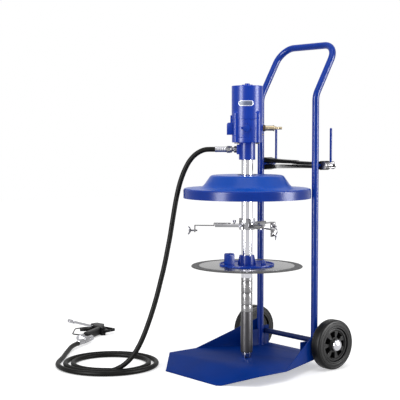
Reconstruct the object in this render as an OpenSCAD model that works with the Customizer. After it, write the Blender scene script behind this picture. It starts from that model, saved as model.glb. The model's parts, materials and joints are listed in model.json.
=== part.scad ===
// Mobile grease unit: an air-driven barrel pump on a two-wheeled trolley, with a drum lid,
// a centring star and a follower plate on its suction tube, a delivery hose and a grease gun.
// The front of the trolley points along -Y and the floor is the plane z = 0.

/* [Trolley] */
// Diameter of the wheels
wheel_d = 180; // [170:2:190]
// Width of the tyres
tyre_w = 44; // [40:1:48]
// Distance between the middles of the two wheels
wheel_track = 418; // [410:1:424]
// Height of the axle's centre line over the deck
axle_rise = 52; // [48:1:56]
// How far the axle lies behind the uprights
axle_back = 26; // [24:1:28]
// Diameter of the axle beam
axle_d = 20; // [18:1:22]
// Diameter of the axle's stub inside the wheel
stub_d = 15; // [12:1:16]
// Outside diameter of the frame tube
frame_tube_d = 25; // [22:1:27]
// Wall of the frame tube
frame_wall = 2.5; // [1.5:0.5:3.5]
// Distance between the centre lines of the two uprights
upright_gap = 290; // [286:1:296]
// Height over the deck at which the uprights lean back
lean_rise = 948; // [930:2:960]
// Radius of the tube's bend into the leaning part
lean_bend_r = 70; // [60:5:90]
// Height over the deck of the handle bar's centre line
grip_rise = 1137; // [1125:1:1150]
// How far the handle bar lies behind the uprights
grip_back = 110; // [100:5:120]
// Radius of the two corners of the handle
grip_corner_r = 65; // [55:5:80]

/* [Deck] */
// Height of the deck's upper face over the floor
deck_z = 38; // [36:1:40]
// Thickness of the folded sheet
sheet_t = 4; // [3:0.5:5]
// Width of the deck
deck_w = 494; // [484:2:504]
// Width of the nose's front edge
nose_w = 280; // [260:5:300]
// Length of the sloping nose
nose_run = 100; // [90:5:110]
// Depth of the flat lip on the floor
lip_run = 12; // [8:1:16]
// Distance from the uprights forward to the fold of the nose
fold_run = 363; // [350:1:375]
// Distance from the uprights forward to where the side gussets start
gusset_run = 236; // [225:1:245]
// Height of the side gussets over the deck at the uprights
gusset_rise = 100; // [90:5:110]
// How far the deck reaches behind the uprights
deck_back = 55; // [52:1:60]

/* [Hooks and strap] */
// Diameter of the hook rods
hook_d = 9; // [8:0.5:10]
// Height over the deck of the hooks' level rods
hook_rise = 697; // [685:1:705]
// How far the hooks' tips stand behind the uprights
hook_back = 80; // [74:1:86]
// Height of the hooks' tips over their level rods
hook_tip = 131; // [115:2:140]
// Radius of the hooks' bends
hook_bend_r = 14; // [12:1:18]
// Width of the lashing strap
strap_w = 44; // [40:1:48]
// Thickness of the strap
strap_t = 1.6; // [1.2:0.1:1.8]
// Windings of the strap round the two hooks
strap_turns = 5; // [4:1:5]
// Step from one winding of the strap to the next
strap_pitch = 3; // [3:0.1:3.2]

/* [Pump] */
// Distance from the uprights forward to the pump's axis
pump_run = 200; // [196:1:206]
// Turn of the pump about its own axis
pump_turn = 46; // [40:1:47]
// Diameter of the pump tube
pump_tube_d = 41.6; // [40:0.2:42]
// Bore of the pump tube
pump_bore_d = 34; // [32:0.5:35]
// Height of the slotted suction ring at the foot
foot_ring_h = 20; // [16:1:24]
// Length of the dark foot tube
foot_tube_h = 149; // [140:1:155]
// Largest diameter of the foot tube
foot_tube_d = 44; // [43:0.5:45]
// Length of the grooved tube over the foot tube
grooved_h = 123; // [116:1:130]
// Length of the plain pump tube
plain_tube_h = 426; // [420:1:435]
// Diameter of the neck
neck_d = 59; // [56:1:62]
// Height of the neck
neck_h = 62; // [58:1:66]
// Diameter of the air motor
motor_d = 112; // [108:1:115]
// Height of the motor's lower flange
motor_base_h = 18; // [15:1:20]
// Height of the motor's valve block
valve_h = 65; // [62:1:70]
// Height of the air cylinder
cylinder_h = 119; // [112:1:125]
// Bore of the air cylinder
cylinder_bore_d = 96; // [90:1:98]
// Thickness of the air cylinder's closed top
cylinder_top_t = 9; // [7:1:11]
// Stroke of the air motor
stroke = 80; // [70:2:84]
// Diameter of the piston rod
rod_d = 12; // [10:1:14]

/* [Air inlet and grease outlet] */
// Height of the air inlet over the valve block's lower face
inlet_rise = 33; // [30:1:36]
// Distance from the pump's axis to the tip of the air nipple
nipple_reach = 125; // [120:1:130]
// Diameter of the air nipple's tip
nipple_d = 10; // [9:0.5:11]
// Height of the outlet over the neck's lower face
outlet_rise = 37; // [34:1:40]
// Distance from the pump's axis to the face where the hose leaves its ferrule
hose_exit = 115; // [110:1:120]

/* [Drum lid] */
// Diameter of the drum lid
lid_d = 459; // [450:1:460]
// Height of the lid's rim
lid_rim_h = 35; // [30:1:40]
// Height of the lid's cone
lid_cone_h = 47; // [40:1:52]
// Diameter of the cone at its foot
lid_cone_d = 304; // [290:2:316]
// How far the cone leans in from its foot to the flat on top
lid_cone_lean = 22; // [14:1:30]
// Thickness of the lid's sheet
lid_t = 2.5; // [1.5:0.5:3]
// Distance from the neck down to the flat on top of the lid
lid_hang = 55; // [48:1:62]

/* [Centring star] */
// Height of the upper faces of the star's arms over the deck
star_rise = 487; // [482:1:492]
// Distance from the tube's axis to the step of each arm
arm_step_r = 120; // [115:1:125]
// Distance from the tube's axis to each clamp jaw
jaw_r = 190; // [185:1:192]
// Width of the arms
arm_w = 20; // [18:1:24]
// Height of the arms
arm_h = 12; // [10:1:14]
// Drop of the outer strips below the arms' upper faces
arm_drop = 8; // [6:1:10]
// Travel of each outer strip away from the tube
arm_out = 14; // [10:1:16]

/* [Follower] */
// Height of the follower plate's upper face over the deck
follower_rise = 337; // [330:1:345]
// Diameter of the steel follower plate
follower_d = 346; // [340:1:352]
// How far the rubber lip stands out past the steel plate
lip_reach = 28.5; // [26:0.5:31]
// Diameter of the round boss plate
boss_d = 197; // [188:1:204]
// Diameter of the follower's collar
collar_d = 53; // [51:1:56]
// Height of the collar over the boss plate
collar_h = 34; // [30:1:38]
// Height of the grip on the follower
grip_h = 45; // [40:1:50]

/* [Hose and gun] */
// Outside diameter of the hose
hose_d = 18; // [17:0.5:18]
// Radius of the coil's innermost turn
coil_r = 125; // [122:1:128]
// Step from one turn of the coil to the next
coil_pitch = 28; // [26:1:30]
// Turns of the coil
coil_turns = 2.25; // [1.25:1:2.25]
// Length of the gun's grip
gun_grip_l = 132; // [126:1:136]
// Thickness of the gun's grip
gun_grip_t = 32; // [28:1:34]
// Length of the nozzle tube
nozzle_l = 145; // [130:1:160]
// Diameter of the nozzle tube
nozzle_d = 11; // [9:0.5:12]
// Diameter of the grease coupler
coupler_d = 16; // [14:0.5:18]
// Bore at the coupler's mouth
coupler_bore_d = 10; // [9:0.5:11]

/* [Hidden] */
$fn = 64;

// Overrun that every cut has past the faces it goes through
cut = 2;
// Gap between pieces that lie against each other without being one
seat = 0.25;
// Radial play of a pin or rod that runs in a bore
play = 0.05;
// How far a straight tube or wire runs into a bend, and how much fuller the bend is all round
bend_lap = 1;
bend_step = 0.1;

// Places of the trolley, worked out from its sizes
toe_run = fold_run + nose_run;
uprights_y = (toe_run - grip_back - frame_tube_d / 2) / 2;
pump_y = uprights_y - pump_run;
upright_x = upright_gap / 2;
axle_z = deck_z + axle_rise;
lift = wheel_d / 2 - axle_z;
lean = atan2(grip_back, grip_rise - lean_rise);
lean_cut = lean_bend_r * tan(lean / 2);
lean_l = norm([grip_back, grip_rise - lean_rise]) - lean_cut - grip_corner_r;
deck_back_gap = 5;
deck_back_x = upright_x + frame_tube_d / 2 + deck_back_gap + seat;
gusset_turn = atan2(deck_w / 2 - deck_back_x, gusset_run);
gusset_l = norm([deck_w / 2 - deck_back_x, gusset_run]);
wheel_x = wheel_track / 2;

// Axle brackets: a plate before and behind each upright, and a round tie to the gusset
web_t = 5;
web_x = upright_x - web_t / 2;
web_gap = frame_tube_d / 2 + seat;
web_front = 69;
web_rear = axle_back + 16;
web_h = axle_rise + 9;
web_rear_h = axle_rise + axle_d;
tie_d = 20;
tie_y = -web_gap - tie_d / 2;
tie_z = axle_z - 2;

// Wheels
rim_d = 120;
rim_wall = 7;
rim_w = tyre_w - 4;
hub_d = 40;
hub_w = tyre_w + 2;
bush_d = 24;
web_disc_t = 8;
window_in = 50;
window_out = 92;
windows = 7;
window_turn = 32;
tyre_round = 9;
tyre_groove = 2.5;
hub_cap_d = 42;
hub_cap_h = 13;
hub_gap = 0.5;
stub_tip = 6;

// Strap and buckle
strap_bow_share = 0.15;
strap_waist_share = 0.8;
strap_press_share = 0.25;
strap_in_r = hook_d / 2 + 2;
strap_y = (frame_tube_d / 2 + hook_back - hook_d / 2) / 2;
buckle_d = 28;
buckle_side_t = 3;
buckle_spool_d = 10;
buckle_bar_d = 5;
buckle_bar_run = 8;

// Heights of the pump, one piece standing on the next
foot_tube_z = deck_z + foot_ring_h;
grooved_z = foot_tube_z + foot_tube_h;
plain_tube_z = grooved_z + grooved_h;
neck_z = plain_tube_z + plain_tube_h;
motor_z = neck_z + neck_h;
valve_z = motor_z + motor_base_h;
cylinder_z = valve_z + valve_h;
motor_top_z = cylinder_z + cylinder_h;
outlet_z = neck_z + outlet_rise;
inlet_z = valve_z + inlet_rise;

// Motor housing
rib_d = 22;
rib_turn = 45;
rib_r = motor_d / 2 - 3;
rib_over = 18;
tie_bolt_d = 8;
tie_head_d = 13;
tie_head_h = 5;
plug_d = 40;
plug_h = 4;
plug_knob_d = 18;
plug_knob_h = 4.5;
motor_chamfer = 3;
band = 1.2;
cover_d = 25;
cover_ear_r = 16;
cover_ear_d = 9;
cover_t = 7;
cover_face = motor_d / 2 - 2;
screw_d = 4;
screw_head_d = 6.5;
screw_head_h = 2.5;
exhaust_out = 72;
exhaust_h = 44;
exhaust_w = 46;
exhaust_round = 8;
exhaust_tab_h = 26;
exhaust_tab_w = 24;
exhaust_drop = 24;

// Inlet and outlet fittings
inlet_hex_d = 23;
inlet_hex_l = 9;
inlet_body_d = 18.5;
inlet_body_l = 27;
inlet_collar_d = 21;
inlet_collar_l = 5;
inlet_bore_d = 8;
nipple_neck_d = 8.5;
nipple_neck_l = 7;
nipple_bore_d = 5;
nipple_back_d = 12.6;
boss_reach = 37;
boss_w = 32;
boss_h = 35;
outlet_bore_d = 10;
adapter_hex_d = 24;
adapter_hex_l = 10;
adapter_neck_d = 15;
adapter_neck_l = 7;
nut_d = 25;
nut_l = 20;
ferrule_d = 20.5;
ferrule_l = hose_exit - boss_reach - adapter_hex_l - adapter_neck_l - nut_l;

// Pump inside
piston_t = 14;
piston_rest = 3;
piston_z = cylinder_z + piston_rest;
ring_groove = 2;
plunger_h = 30;
plunger_z = grooved_z + 24;
primer_d = 28;
primer_h = 8;
primer_z = deck_z + foot_ring_h + 12;
rod_end_z = primer_z;
foot_bore_d = 32;
ring_top_d = 40;
ring_low_d = 33;
ring_slot_w = 9;
ring_slot_h = 11;
foot_top_d = pump_tube_d - 0.2;
foot_chamfer = 3;
groove_w = 4;
groove_deep = 1.2;
groove_shares = [0.2, 0.56, 0.9];

// Drum lid
lid_top_z = neck_z - lid_hang;
lid_shoulder_z = lid_top_z - lid_cone_h;
lid_z = lid_shoulder_z - lid_rim_h;
lid_top_d = lid_cone_d - 2 * lid_cone_lean;
lid_round = 8;
grommet_d = 62;
grommet_lip = 3;

// Centring star
star_z = deck_z + star_rise;
arm_turns = [61, 181, 301];
star_ring_d = pump_tube_d + 16;
star_ring_low = 20;
star_ring_high = 20;
arm_root_r = star_ring_d / 2 - 3;
strip_t = 3;
strip_w = arm_w;
channel_t = 4;
arm_end_gap = 5;
jaw_h = 26;
jaw_t = 4;
jaw_screw_d = 6;
jaw_screw_l = 22;
jaw_screw_drop = 17;
wing_span = 24;
wing_h = 9;
wing_t = 2.5;
wing_hub_d = 9;
thumb_r = 46;
thumb_d = 6;
thumb_head_d = 13;
thumb_head_h = 9;
thumb_l = 13;
thumb_blade_step = 0.1;
strip_in_r = thumb_r + thumb_head_d;
lug_w = 9;
lug_l = 13;
lug_h = 26;
lug_rise = 3;

// Follower
follower_z = deck_z + follower_rise;
lip_d = follower_d + 2 * lip_reach;
follower_t = 3;
lip_t = 2;
lip_lap = 14;
boss_t = 3;
boss_edge = 4;
collar_ribs = 6;
collar_rib_w = 7;
collar_rib_run = 10;
grip_r = 76;
grip_w = 32;
grip_t = 24;
vent_d = 20;
vent_h = 20;
vent_cap_d = 14;
grip_places = [[217, grip_h], [324, vent_h]];

// Gun, drawn flat: x across it, y along its grip, z up from its middle plane
gun_at = [-678, 466];
gun_heading = 75;
gun_body_t = 34;
gun_z = gun_body_t / 2;
grip_wide = 34;
grip_core = 20;
swivel_in_x = 38;
swivel_out_x = -8;
swivel_y = -47;
link_d = 23;
link_h = 24;
arm_link_d = 17;
gun_nut_d = 23;
gun_nut_l = 16;
gun_neck_d = 15;
gun_hex_l = 19;
sleeve_d = 23;
sleeve_l = 48;
gun_ferrule_l = 46;
sleeve_gap = 6;
swivel_pin_d = 10;
swivel_pin_l = 8;
ferrule_end_y = swivel_y - link_h / 2 - seat - sleeve_l - sleeve_gap - gun_ferrule_l;
nozzle_from = [-60, 192];
nozzle_rise = 29;
nozzle_collar_d = 19;
nozzle_collar_l = 20;
nozzle_bore_d = 5;
coupler_l = 42;
coupler_deep = 14;
guard_d = 5;
guard_bend_r = 7;
gun_outline_front = [[-52, 207], [-68, 177], [-55, 161], [-20, 129], [20, 98], [27, 107], [36, 107]];
gun_outline_loop = [[37, 117], [52, 150], [55, 159], [51, 167], [3, 185]];
gun_outline_back = [[0, 136], [-9, 190]];
loop_outline = [[9, 177], [4, 157], [38, 131], [46, 158], [43, 163]];
slot_outline = [[-80, 186], [-45, 186], [-16, 160], [-16, 136], [-60, 120], [-90, 160]];
guard_points = [[-64, 175], [-88, 165], [-113, 120], [-108, 104], [-74, 17], [-62, 7], [-18.4, 4.1]];
trigger_at = [-36, 168];
trigger_t = 14;
trigger_head_d = 13.5;
trigger_outline = [
    [-31, 166], [-41, 147], [-58, 122], [-68, 113], [-80, 109], [-88, 110], [-86, 115], [-74, 119],
    [-69, 132], [-60, 142], [-53, 158], [-41, 171]
];
trigger_pin_d = 5;
trigger_slot = 15;
trigger_turn = 18;

// Route of the hose: across, away and up, in the pump's own turned frame, in the order it runs
drop_route = [
    [-150, 0, 792], [-184, 0, 776], [-206, -1, 753], [-221, -2, 727], [-234, -4, 696], [-244, -6, 664],
    [-252, -9, 629], [-259, -12, 592], [-265, -15, 554], [-271, -19, 515], [-277, -23, 476],
    [-284, -28, 437], [-291, -34, 398], [-299, -40, 359], [-308, -48, 320], [-317, -56, 281],
    [-327, -65, 242], [-338, -75, 204], [-350, -85, 167], [-363, -94, 131], [-378, -102, 97],
    [-396, -109, 66], [-418, -115, 40], [-445, -120.5, 20], [-476, -125, 9]
];
tail_route = [
    [-693, 50, 9], [-694, 90, 9], [-696, 130, 10], [-697, 168, 11], [-697, 206, 13], [-695, 240, 16]
];
coil_at = [-505, 0];
coil_rings = 24;
coil_sides = 6;
hose_sides = 10;
coil_end_r = coil_r + coil_pitch * coil_turns;

// Places one step at a time along the coil: it starts in front and winds outwards to the left
function coil_point(t) =
    let (r = coil_r + coil_pitch * t, a = -90 - 360 * t)
    [coil_at[0] + r * cos(a), coil_at[1] + r * sin(a), hose_d / 2];
coil_steps = round(coil_turns * coil_rings);
coil_line = concat(
    [coil_point(0) + [hose_d, 0, 0]],
    [for (i = [0:coil_steps]) coil_point(i / coil_rings)],
    [coil_point(coil_turns) + [0, hose_d, 0]]
);
coil_gap = min([
    for (i = [0:coil_steps - coil_rings]) for (j = [-2:2])
        let (k = i + coil_rings + j)
        if (k <= coil_steps && k > i + coil_rings / 2)
            norm(coil_point(k / coil_rings) - coil_point(i / coil_rings))
]) - hose_d;
echo(str("least gap of the coil to itself, mm: ", coil_gap));

// A place given in the gun's flat frame, in the pump's turned frame
function from_gun(p) =
    let (a = gun_heading - 90)
    [gun_at[0] + p[0] * cos(a) - p[1] * sin(a), gun_at[1] + p[0] * sin(a) + p[1] * cos(a), gun_z];
drop_line = concat(
    [[-hose_exit, 0, outlet_z], [-hose_exit - hose_d, 0, outlet_z]],
    drop_route,
    [coil_line[0]]
);
tail_line = concat(
    [coil_line[len(coil_line) - 1]],
    tail_route,
    [from_gun([swivel_in_x, ferrule_end_y - hose_d]), from_gun([swivel_in_x, ferrule_end_y])]
);

// Tangents, rings and the closed skin of a swept tube
function unit(v) = v / norm(v);
function heading(line, i) =
    let (n = len(line) - 1)
    i == 0 ? unit(line[1] - line[0]) :
    i == n ? unit(line[n] - line[n - 1]) :
    unit(unit(line[i] - line[i - 1]) + unit(line[i + 1] - line[i]));
function ring(centre, along, side, d, sides) =
    let (x = unit(cross(side, along)), y = cross(along, x))
    [for (k = [0:sides - 1]) centre + d / 2 * (y * cos(360 * k / sides) - x * sin(360 * k / sides))];
module skin(rings) {
    n = len(rings[0]);
    last = len(rings) - 1;
    sides = [
        for (i = [0:last - 1]) for (k = [0:n - 1])
            let (a = i * n + k, b = i * n + (k + 1) % n)
            each [[a, a + n, b], [b, a + n, b + n]]
    ];
    start_cap = [for (k = [1:n - 2]) [0, k, k + 1]];
    end_cap = [for (k = [1:n - 2]) [last * n, last * n + k + 1, last * n + k]];
    polyhedron(points = [for (r = rings) each r], faces = concat(sides, start_cap, end_cap));
}
module swept(line, side, d, sides) {
    skin([for (i = [0:len(line) - 1]) ring(line[i], heading(line, i), side, d, sides)]);
}

// Placing helpers
module at_uprights() {
    translate([0, uprights_y, 0]) children();
}
module at_pump(z = 0) {
    translate([0, pump_y, z]) rotate([0, 0, pump_turn]) children();
}
module at_gun() {
    at_pump() translate([gun_at[0], gun_at[1], gun_z]) rotate([0, 0, gun_heading - 90]) children();
}
module both_sides() {
    children();
    mirror([1, 0, 0]) children();
}
module along_x(x, z = 0) {
    translate([x, 0, z]) rotate([0, 90, 0]) children();
}
// A tube or disc with a true bore
module pipe(h, d, bore) {
    difference() {
        cylinder(h = h, d = d);
        translate([0, 0, -cut]) cylinder(h = h + 2 * cut, d = bore);
    }
}
// A hexagon prism of the width across its corners
module hex(h, d) {
    cylinder(h = h, d = d, $fn = 6);
}

// Handle frame: one hollow tube from the deck up the right side, over the handle and down again.
// Each straight length runs a little way into the bends at its ends.
module tube_section(thin) {
    difference() {
        circle(d = frame_tube_d - 2 * thin);
        circle(d = frame_tube_d - 2 * frame_wall + 2 * thin);
    }
}
module frame_half() {
    straight = lean_rise - lean_cut;
    bend_y = lean_bend_r * (1 - cos(lean));
    bend_z = deck_z + straight + lean_bend_r * sin(lean);
    corner_y = bend_y + lean_l * sin(lean);
    corner_z = bend_z + lean_l * cos(lean);
    translate([upright_x, 0, deck_z]) linear_extrude(straight + bend_lap) tube_section(bend_step);
    translate([upright_x, lean_bend_r, deck_z + straight]) rotate([90, 0, -90])
        rotate_extrude(angle = lean) translate([lean_bend_r, 0]) tube_section(0);
    translate([upright_x, bend_y, bend_z]) rotate([-lean, 0, 0]) translate([0, 0, -bend_lap])
        linear_extrude(lean_l + 2 * bend_lap) tube_section(bend_step);
    translate([upright_x - grip_corner_r, corner_y, corner_z]) rotate([90 - lean, 0, 0])
        rotate_extrude(angle = 90) translate([grip_corner_r, 0]) tube_section(0);
}
module handle_frame() {
    bar = upright_x - grip_corner_r + bend_lap;
    color("royalblue") at_uprights() {
        both_sides() frame_half();
        translate([-bar, grip_back, deck_z + grip_rise]) rotate([0, 90, 0])
            linear_extrude(2 * bar) tube_section(bend_step);
    }
}

// Toe plate: one folded sheet with a sloping nose, a floor lip and two upturned side gussets,
// and the axle brackets welded to it
module deck_outline() {
    polygon([
        [nose_w / 2, -toe_run], [deck_w / 2, -fold_run], [deck_w / 2, -gusset_run],
        [deck_back_x, 0], [deck_back_x, deck_back], [-deck_back_x, deck_back], [-deck_back_x, 0],
        [-deck_w / 2, -gusset_run], [-deck_w / 2, -fold_run], [-nose_w / 2, -toe_run]
    ]);
}
module deck_profile() {
    polygon([
        [-toe_run, 0], [lip_run - toe_run, 0], [-fold_run, deck_z - sheet_t],
        [deck_back, deck_z - sheet_t], [deck_back, deck_z], [-fold_run, deck_z],
        [lip_run - toe_run, sheet_t], [-toe_run, sheet_t]
    ]);
}
module gusset() {
    translate([deck_w / 2, -gusset_run, deck_z - sheet_t]) rotate([0, 0, gusset_turn]) rotate([90, 0, -90])
        translate([-gusset_l, 0, 0]) linear_extrude(sheet_t)
            polygon([[0, 0], [gusset_l, 0], [gusset_l, sheet_t], [0, sheet_t + gusset_rise]]);
}
module axle_bracket() {
    difference() {
        union() {
            translate([web_x, -web_front, deck_z - sheet_t])
                cube([web_t, web_front - web_gap, web_h + sheet_t]);
            translate([web_x, web_gap, deck_z - sheet_t])
                cube([web_t, web_rear - web_gap, web_rear_h + sheet_t]);
            translate([web_x + web_t / 2, tie_y, tie_z]) rotate([0, 90, 0])
                cylinder(h = deck_w / 2 - web_x, d = tie_d);
        }
        translate([deck_w / 2, -gusset_run, 0]) rotate([0, 0, gusset_turn])
            translate([-sheet_t / 2, -deck_w, 0]) cube([deck_w, 2 * deck_w, 2 * axle_z]);
        translate([0, axle_back, axle_z]) rotate([0, 90, 0]) cylinder(h = deck_w, d = axle_d + 2 * play);
    }
}
module toe_plate() {
    color("royalblue") at_uprights() {
        intersection() {
            translate([-deck_w / 2, 0, 0]) rotate([90, 0, 90]) linear_extrude(deck_w) deck_profile();
            linear_extrude(2 * deck_z) deck_outline();
        }
        both_sides() gusset();
        both_sides() axle_bracket();
    }
}

// Axle beam with a thinner stub in each wheel
module axle() {
    beam = wheel_x - hub_w / 2 - hub_gap;
    color("midnightblue") at_uprights() translate([0, axle_back, axle_z]) {
        along_x(-beam) cylinder(h = 2 * beam, d = axle_d);
        both_sides() along_x(beam - cut)
            cylinder(h = cut + hub_w + 2 * hub_gap + stub_tip, d = stub_d);
    }
}
module hub_caps() {
    color("silver") at_uprights() translate([0, axle_back, axle_z]) both_sides()
        along_x(wheel_x + hub_w / 2 + hub_gap) difference() {
            intersection() {
                cylinder(h = hub_cap_h, d = hub_cap_d);
                translate([0, 0, hub_cap_h - hub_cap_d]) sphere(r = hub_cap_d);
                translate([0, 0, -hub_cap_d / 4]) sphere(r = hub_cap_d / 2 + hub_cap_h / 2);
            }
            translate([0, 0, -cut]) cylinder(h = cut + hub_gap + stub_tip + seat, d = stub_d + 2 * seat);
        }
}

// Wheels: a solid tyre on a seven-spoked rim that turns on a plain bush
module at_wheel(side) {
    at_uprights() translate([side * wheel_x, axle_back, axle_z]) rotate([0, side * 90, 0]) children();
}
module tyre_section() {
    inner = rim_d / 2;
    outer = wheel_d / 2;
    half = tyre_w / 2;
    difference() {
        union() {
            translate([inner, -half]) square([outer - tyre_round - inner, tyre_w]);
            translate([inner, -half + tyre_round]) square([outer - inner, tyre_w - 2 * tyre_round]);
            for (s = [-1, 1]) translate([outer - tyre_round, s * (half - tyre_round)]) circle(r = tyre_round);
        }
        for (s = [-1, 1]) {
            translate([inner + tyre_round, s * half]) circle(d = tyre_groove);
            translate([outer - tyre_round, s * half]) circle(d = tyre_groove);
            translate([outer, s * (half / 2)]) circle(d = tyre_groove);
        }
    }
}
module tyre() {
    rotate_extrude() tyre_section();
}
module rim_section() {
    seat_r = rim_d / 2 - seat;
    translate([seat_r - rim_wall, -rim_w / 2]) square([rim_wall, rim_w]);
    translate([bush_d / 2, -web_disc_t / 2]) square([seat_r - bush_d / 2, web_disc_t]);
    translate([bush_d / 2 + seat, -hub_w / 2]) square([hub_d / 2 - bush_d / 2 - seat, hub_w]);
}
module rim_window() {
    intersection() {
        difference() {
            circle(d = window_out);
            circle(d = window_in);
        }
        polygon([
            [0, 0], window_out * [cos(window_turn / 2), -sin(window_turn / 2)],
            window_out * [cos(window_turn / 2), sin(window_turn / 2)]
        ]);
    }
}
module rim() {
    difference() {
        rotate_extrude() rim_section();
        translate([0, 0, -web_disc_t]) linear_extrude(2 * web_disc_t)
            for (i = [0:windows - 1]) rotate(i * 360 / windows) rim_window();
        translate([0, 0, -hub_w]) cylinder(h = 2 * hub_w, d = bush_d + 2 * seat);
    }
}
module bush() {
    translate([0, 0, -hub_w / 2]) pipe(hub_w, bush_d, stub_d + 2 * play);
}
module left_tyre() {
    color("dimgray") at_wheel(-1) tyre();
}
module right_tyre() {
    color("dimgray") at_wheel(1) tyre();
}
module left_rim() {
    color("black") at_wheel(-1) rim();
}
module right_rim() {
    color("black") at_wheel(1) rim();
}
module left_bush() {
    color("gainsboro") at_wheel(-1) bush();
}
module right_bush() {
    color("gainsboro") at_wheel(1) bush();
}

// Hooks: a bent rod behind each upright, its root cut to the tube
module strap_hooks() {
    color("mediumblue") at_uprights() both_sides() translate([upright_x, 0, deck_z + hook_rise]) {
        difference() {
            rotate([-90, 0, 0]) cylinder(h = hook_back - hook_bend_r, d = hook_d);
            translate([0, 0, -hook_d]) cylinder(h = 2 * hook_d, d = frame_tube_d + 2 * seat);
        }
        translate([0, hook_back - hook_bend_r, hook_bend_r]) rotate([0, 90, 0])
            rotate_extrude(angle = 90) translate([hook_bend_r, 0]) circle(d = hook_d);
        translate([0, hook_back, hook_bend_r]) cylinder(h = hook_tip - hook_bend_r, d = hook_d);
        translate([0, hook_back, hook_tip]) sphere(d = hook_d);
    }
}

// Lashing strap: one long band wound round both hooks, drawn in between them.
// Each winding is wider than the last, the left end bows out more than the right, and in the
// middle the windings are pressed together.
function strap_point(t) =
    let (a = 90 - 360 * t, c = cos(a), reach = max(-1, min(1, 4 * c)), near = 1 - reach * reach)
    let (bow = 1 - strap_bow_share * reach, out = strap_pitch * t)
    let (half = strap_in_r * (1 - strap_waist_share * near) + out * (1 - strap_press_share * near))
    [upright_x * reach + (strap_in_r + out) * bow * c, half * bow * sin(a)];
strap_rings = 48;
strap_steps = strap_turns * strap_rings;
strap_gap = min([
    for (i = [0:strap_steps - strap_rings])
        norm(strap_point((i + strap_rings) / strap_rings) - strap_point(i / strap_rings))
]) - strap_t;
echo(str("least gap of the strap to itself, mm: ", strap_gap));
module lashing_strap() {
    line = [for (i = [0:strap_steps]) strap_point(i / strap_rings)];
    rings = [
        for (i = [0:strap_steps])
            let (v = heading(line, i), n = [v[1], -v[0]] * strap_t / 2, a = line[i] - n, b = line[i] + n)
            [
                [a[0], -strap_w / 2, a[1]], [b[0], -strap_w / 2, b[1]],
                [b[0], strap_w / 2, b[1]], [a[0], strap_w / 2, a[1]]
            ]
    ];
    color("black") at_uprights() translate([0, strap_y, deck_z + hook_rise]) skin(rings);
}
module strap_buckle() {
    end_r = (strap_in_r + strap_pitch * (strap_turns - 0.75)) * (1 - strap_bow_share) + strap_t / 2;
    x = upright_x + end_r + seat + buckle_spool_d / 2;
    color("silver") at_uprights() translate([x, strap_y, deck_z + hook_rise]) rotate([90, 0, 0]) {
        inner = strap_w + 2 * seat;
        for (s = [-1, 1]) translate([0, 0, s * (inner + buckle_side_t) / 2 - buckle_side_t / 2])
            cylinder(h = buckle_side_t, d = buckle_d);
        translate([0, 0, -inner / 2]) cylinder(h = inner, d = buckle_spool_d);
        translate([buckle_bar_run, buckle_bar_run, -inner / 2]) cylinder(h = inner, d = buckle_bar_d);
        translate([buckle_bar_run, -buckle_bar_run, -inner / 2]) cylinder(h = inner, d = buckle_bar_d);
    }
}

// Suction foot: a castellated ring under the dark foot tube
module foot_ring() {
    color("silver") at_pump(deck_z) difference() {
        cylinder(h = foot_ring_h, d1 = ring_low_d, d2 = ring_top_d);
        translate([0, 0, -cut]) cylinder(h = foot_ring_h + 2 * cut, d = primer_d);
        for (a = [0, 90]) rotate([0, 0, a]) translate([-foot_tube_d, -ring_slot_w / 2, -cut])
            cube([2 * foot_tube_d, ring_slot_w, ring_slot_h + cut]);
    }
}
module foot_tube() {
    waist = foot_tube_h / 6;
    color("dimgray") at_pump(foot_tube_z) difference() {
        union() {
            cylinder(h = foot_chamfer, d1 = ring_top_d, d2 = foot_tube_d);
            translate([0, 0, foot_chamfer]) cylinder(h = waist, d = foot_tube_d);
            translate([0, 0, foot_chamfer + waist])
                cylinder(h = foot_tube_h - foot_chamfer - waist, d1 = foot_tube_d, d2 = foot_top_d);
        }
        translate([0, 0, -cut]) cylinder(h = foot_tube_h + 2 * cut, d = foot_bore_d);
    }
}
module grooved_tube() {
    color("lightgray") at_pump(grooved_z) difference() {
        pipe(grooved_h, pump_tube_d, pump_bore_d);
        for (share = groove_shares) translate([0, 0, share * grooved_h - groove_w / 2]) difference() {
            cylinder(h = groove_w, d = pump_tube_d + cut);
            translate([0, 0, -cut]) cylinder(h = groove_w + 2 * cut, d = pump_tube_d - 2 * groove_deep);
        }
    }
}
module pump_tube() {
    color("gainsboro") at_pump(plain_tube_z) pipe(plain_tube_h, pump_tube_d, pump_bore_d);
}

// Neck with the outlet boss on its left
module pump_neck() {
    color("royalblue") at_pump(neck_z) difference() {
        union() {
            cylinder(h = neck_h, d = neck_d);
            translate([-boss_reach, -boss_w / 2, outlet_rise - boss_h / 2])
                cube([boss_reach, boss_w, boss_h]);
        }
        translate([0, 0, -cut]) cylinder(h = neck_h - neck_h / 6 + cut, d = pump_bore_d);
        cylinder(h = neck_h + cut, d = rod_d + 2 * play);
        along_x(-boss_reach - cut, outlet_rise) cylinder(h = boss_reach + cut, d = outlet_bore_d);
    }
}

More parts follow.
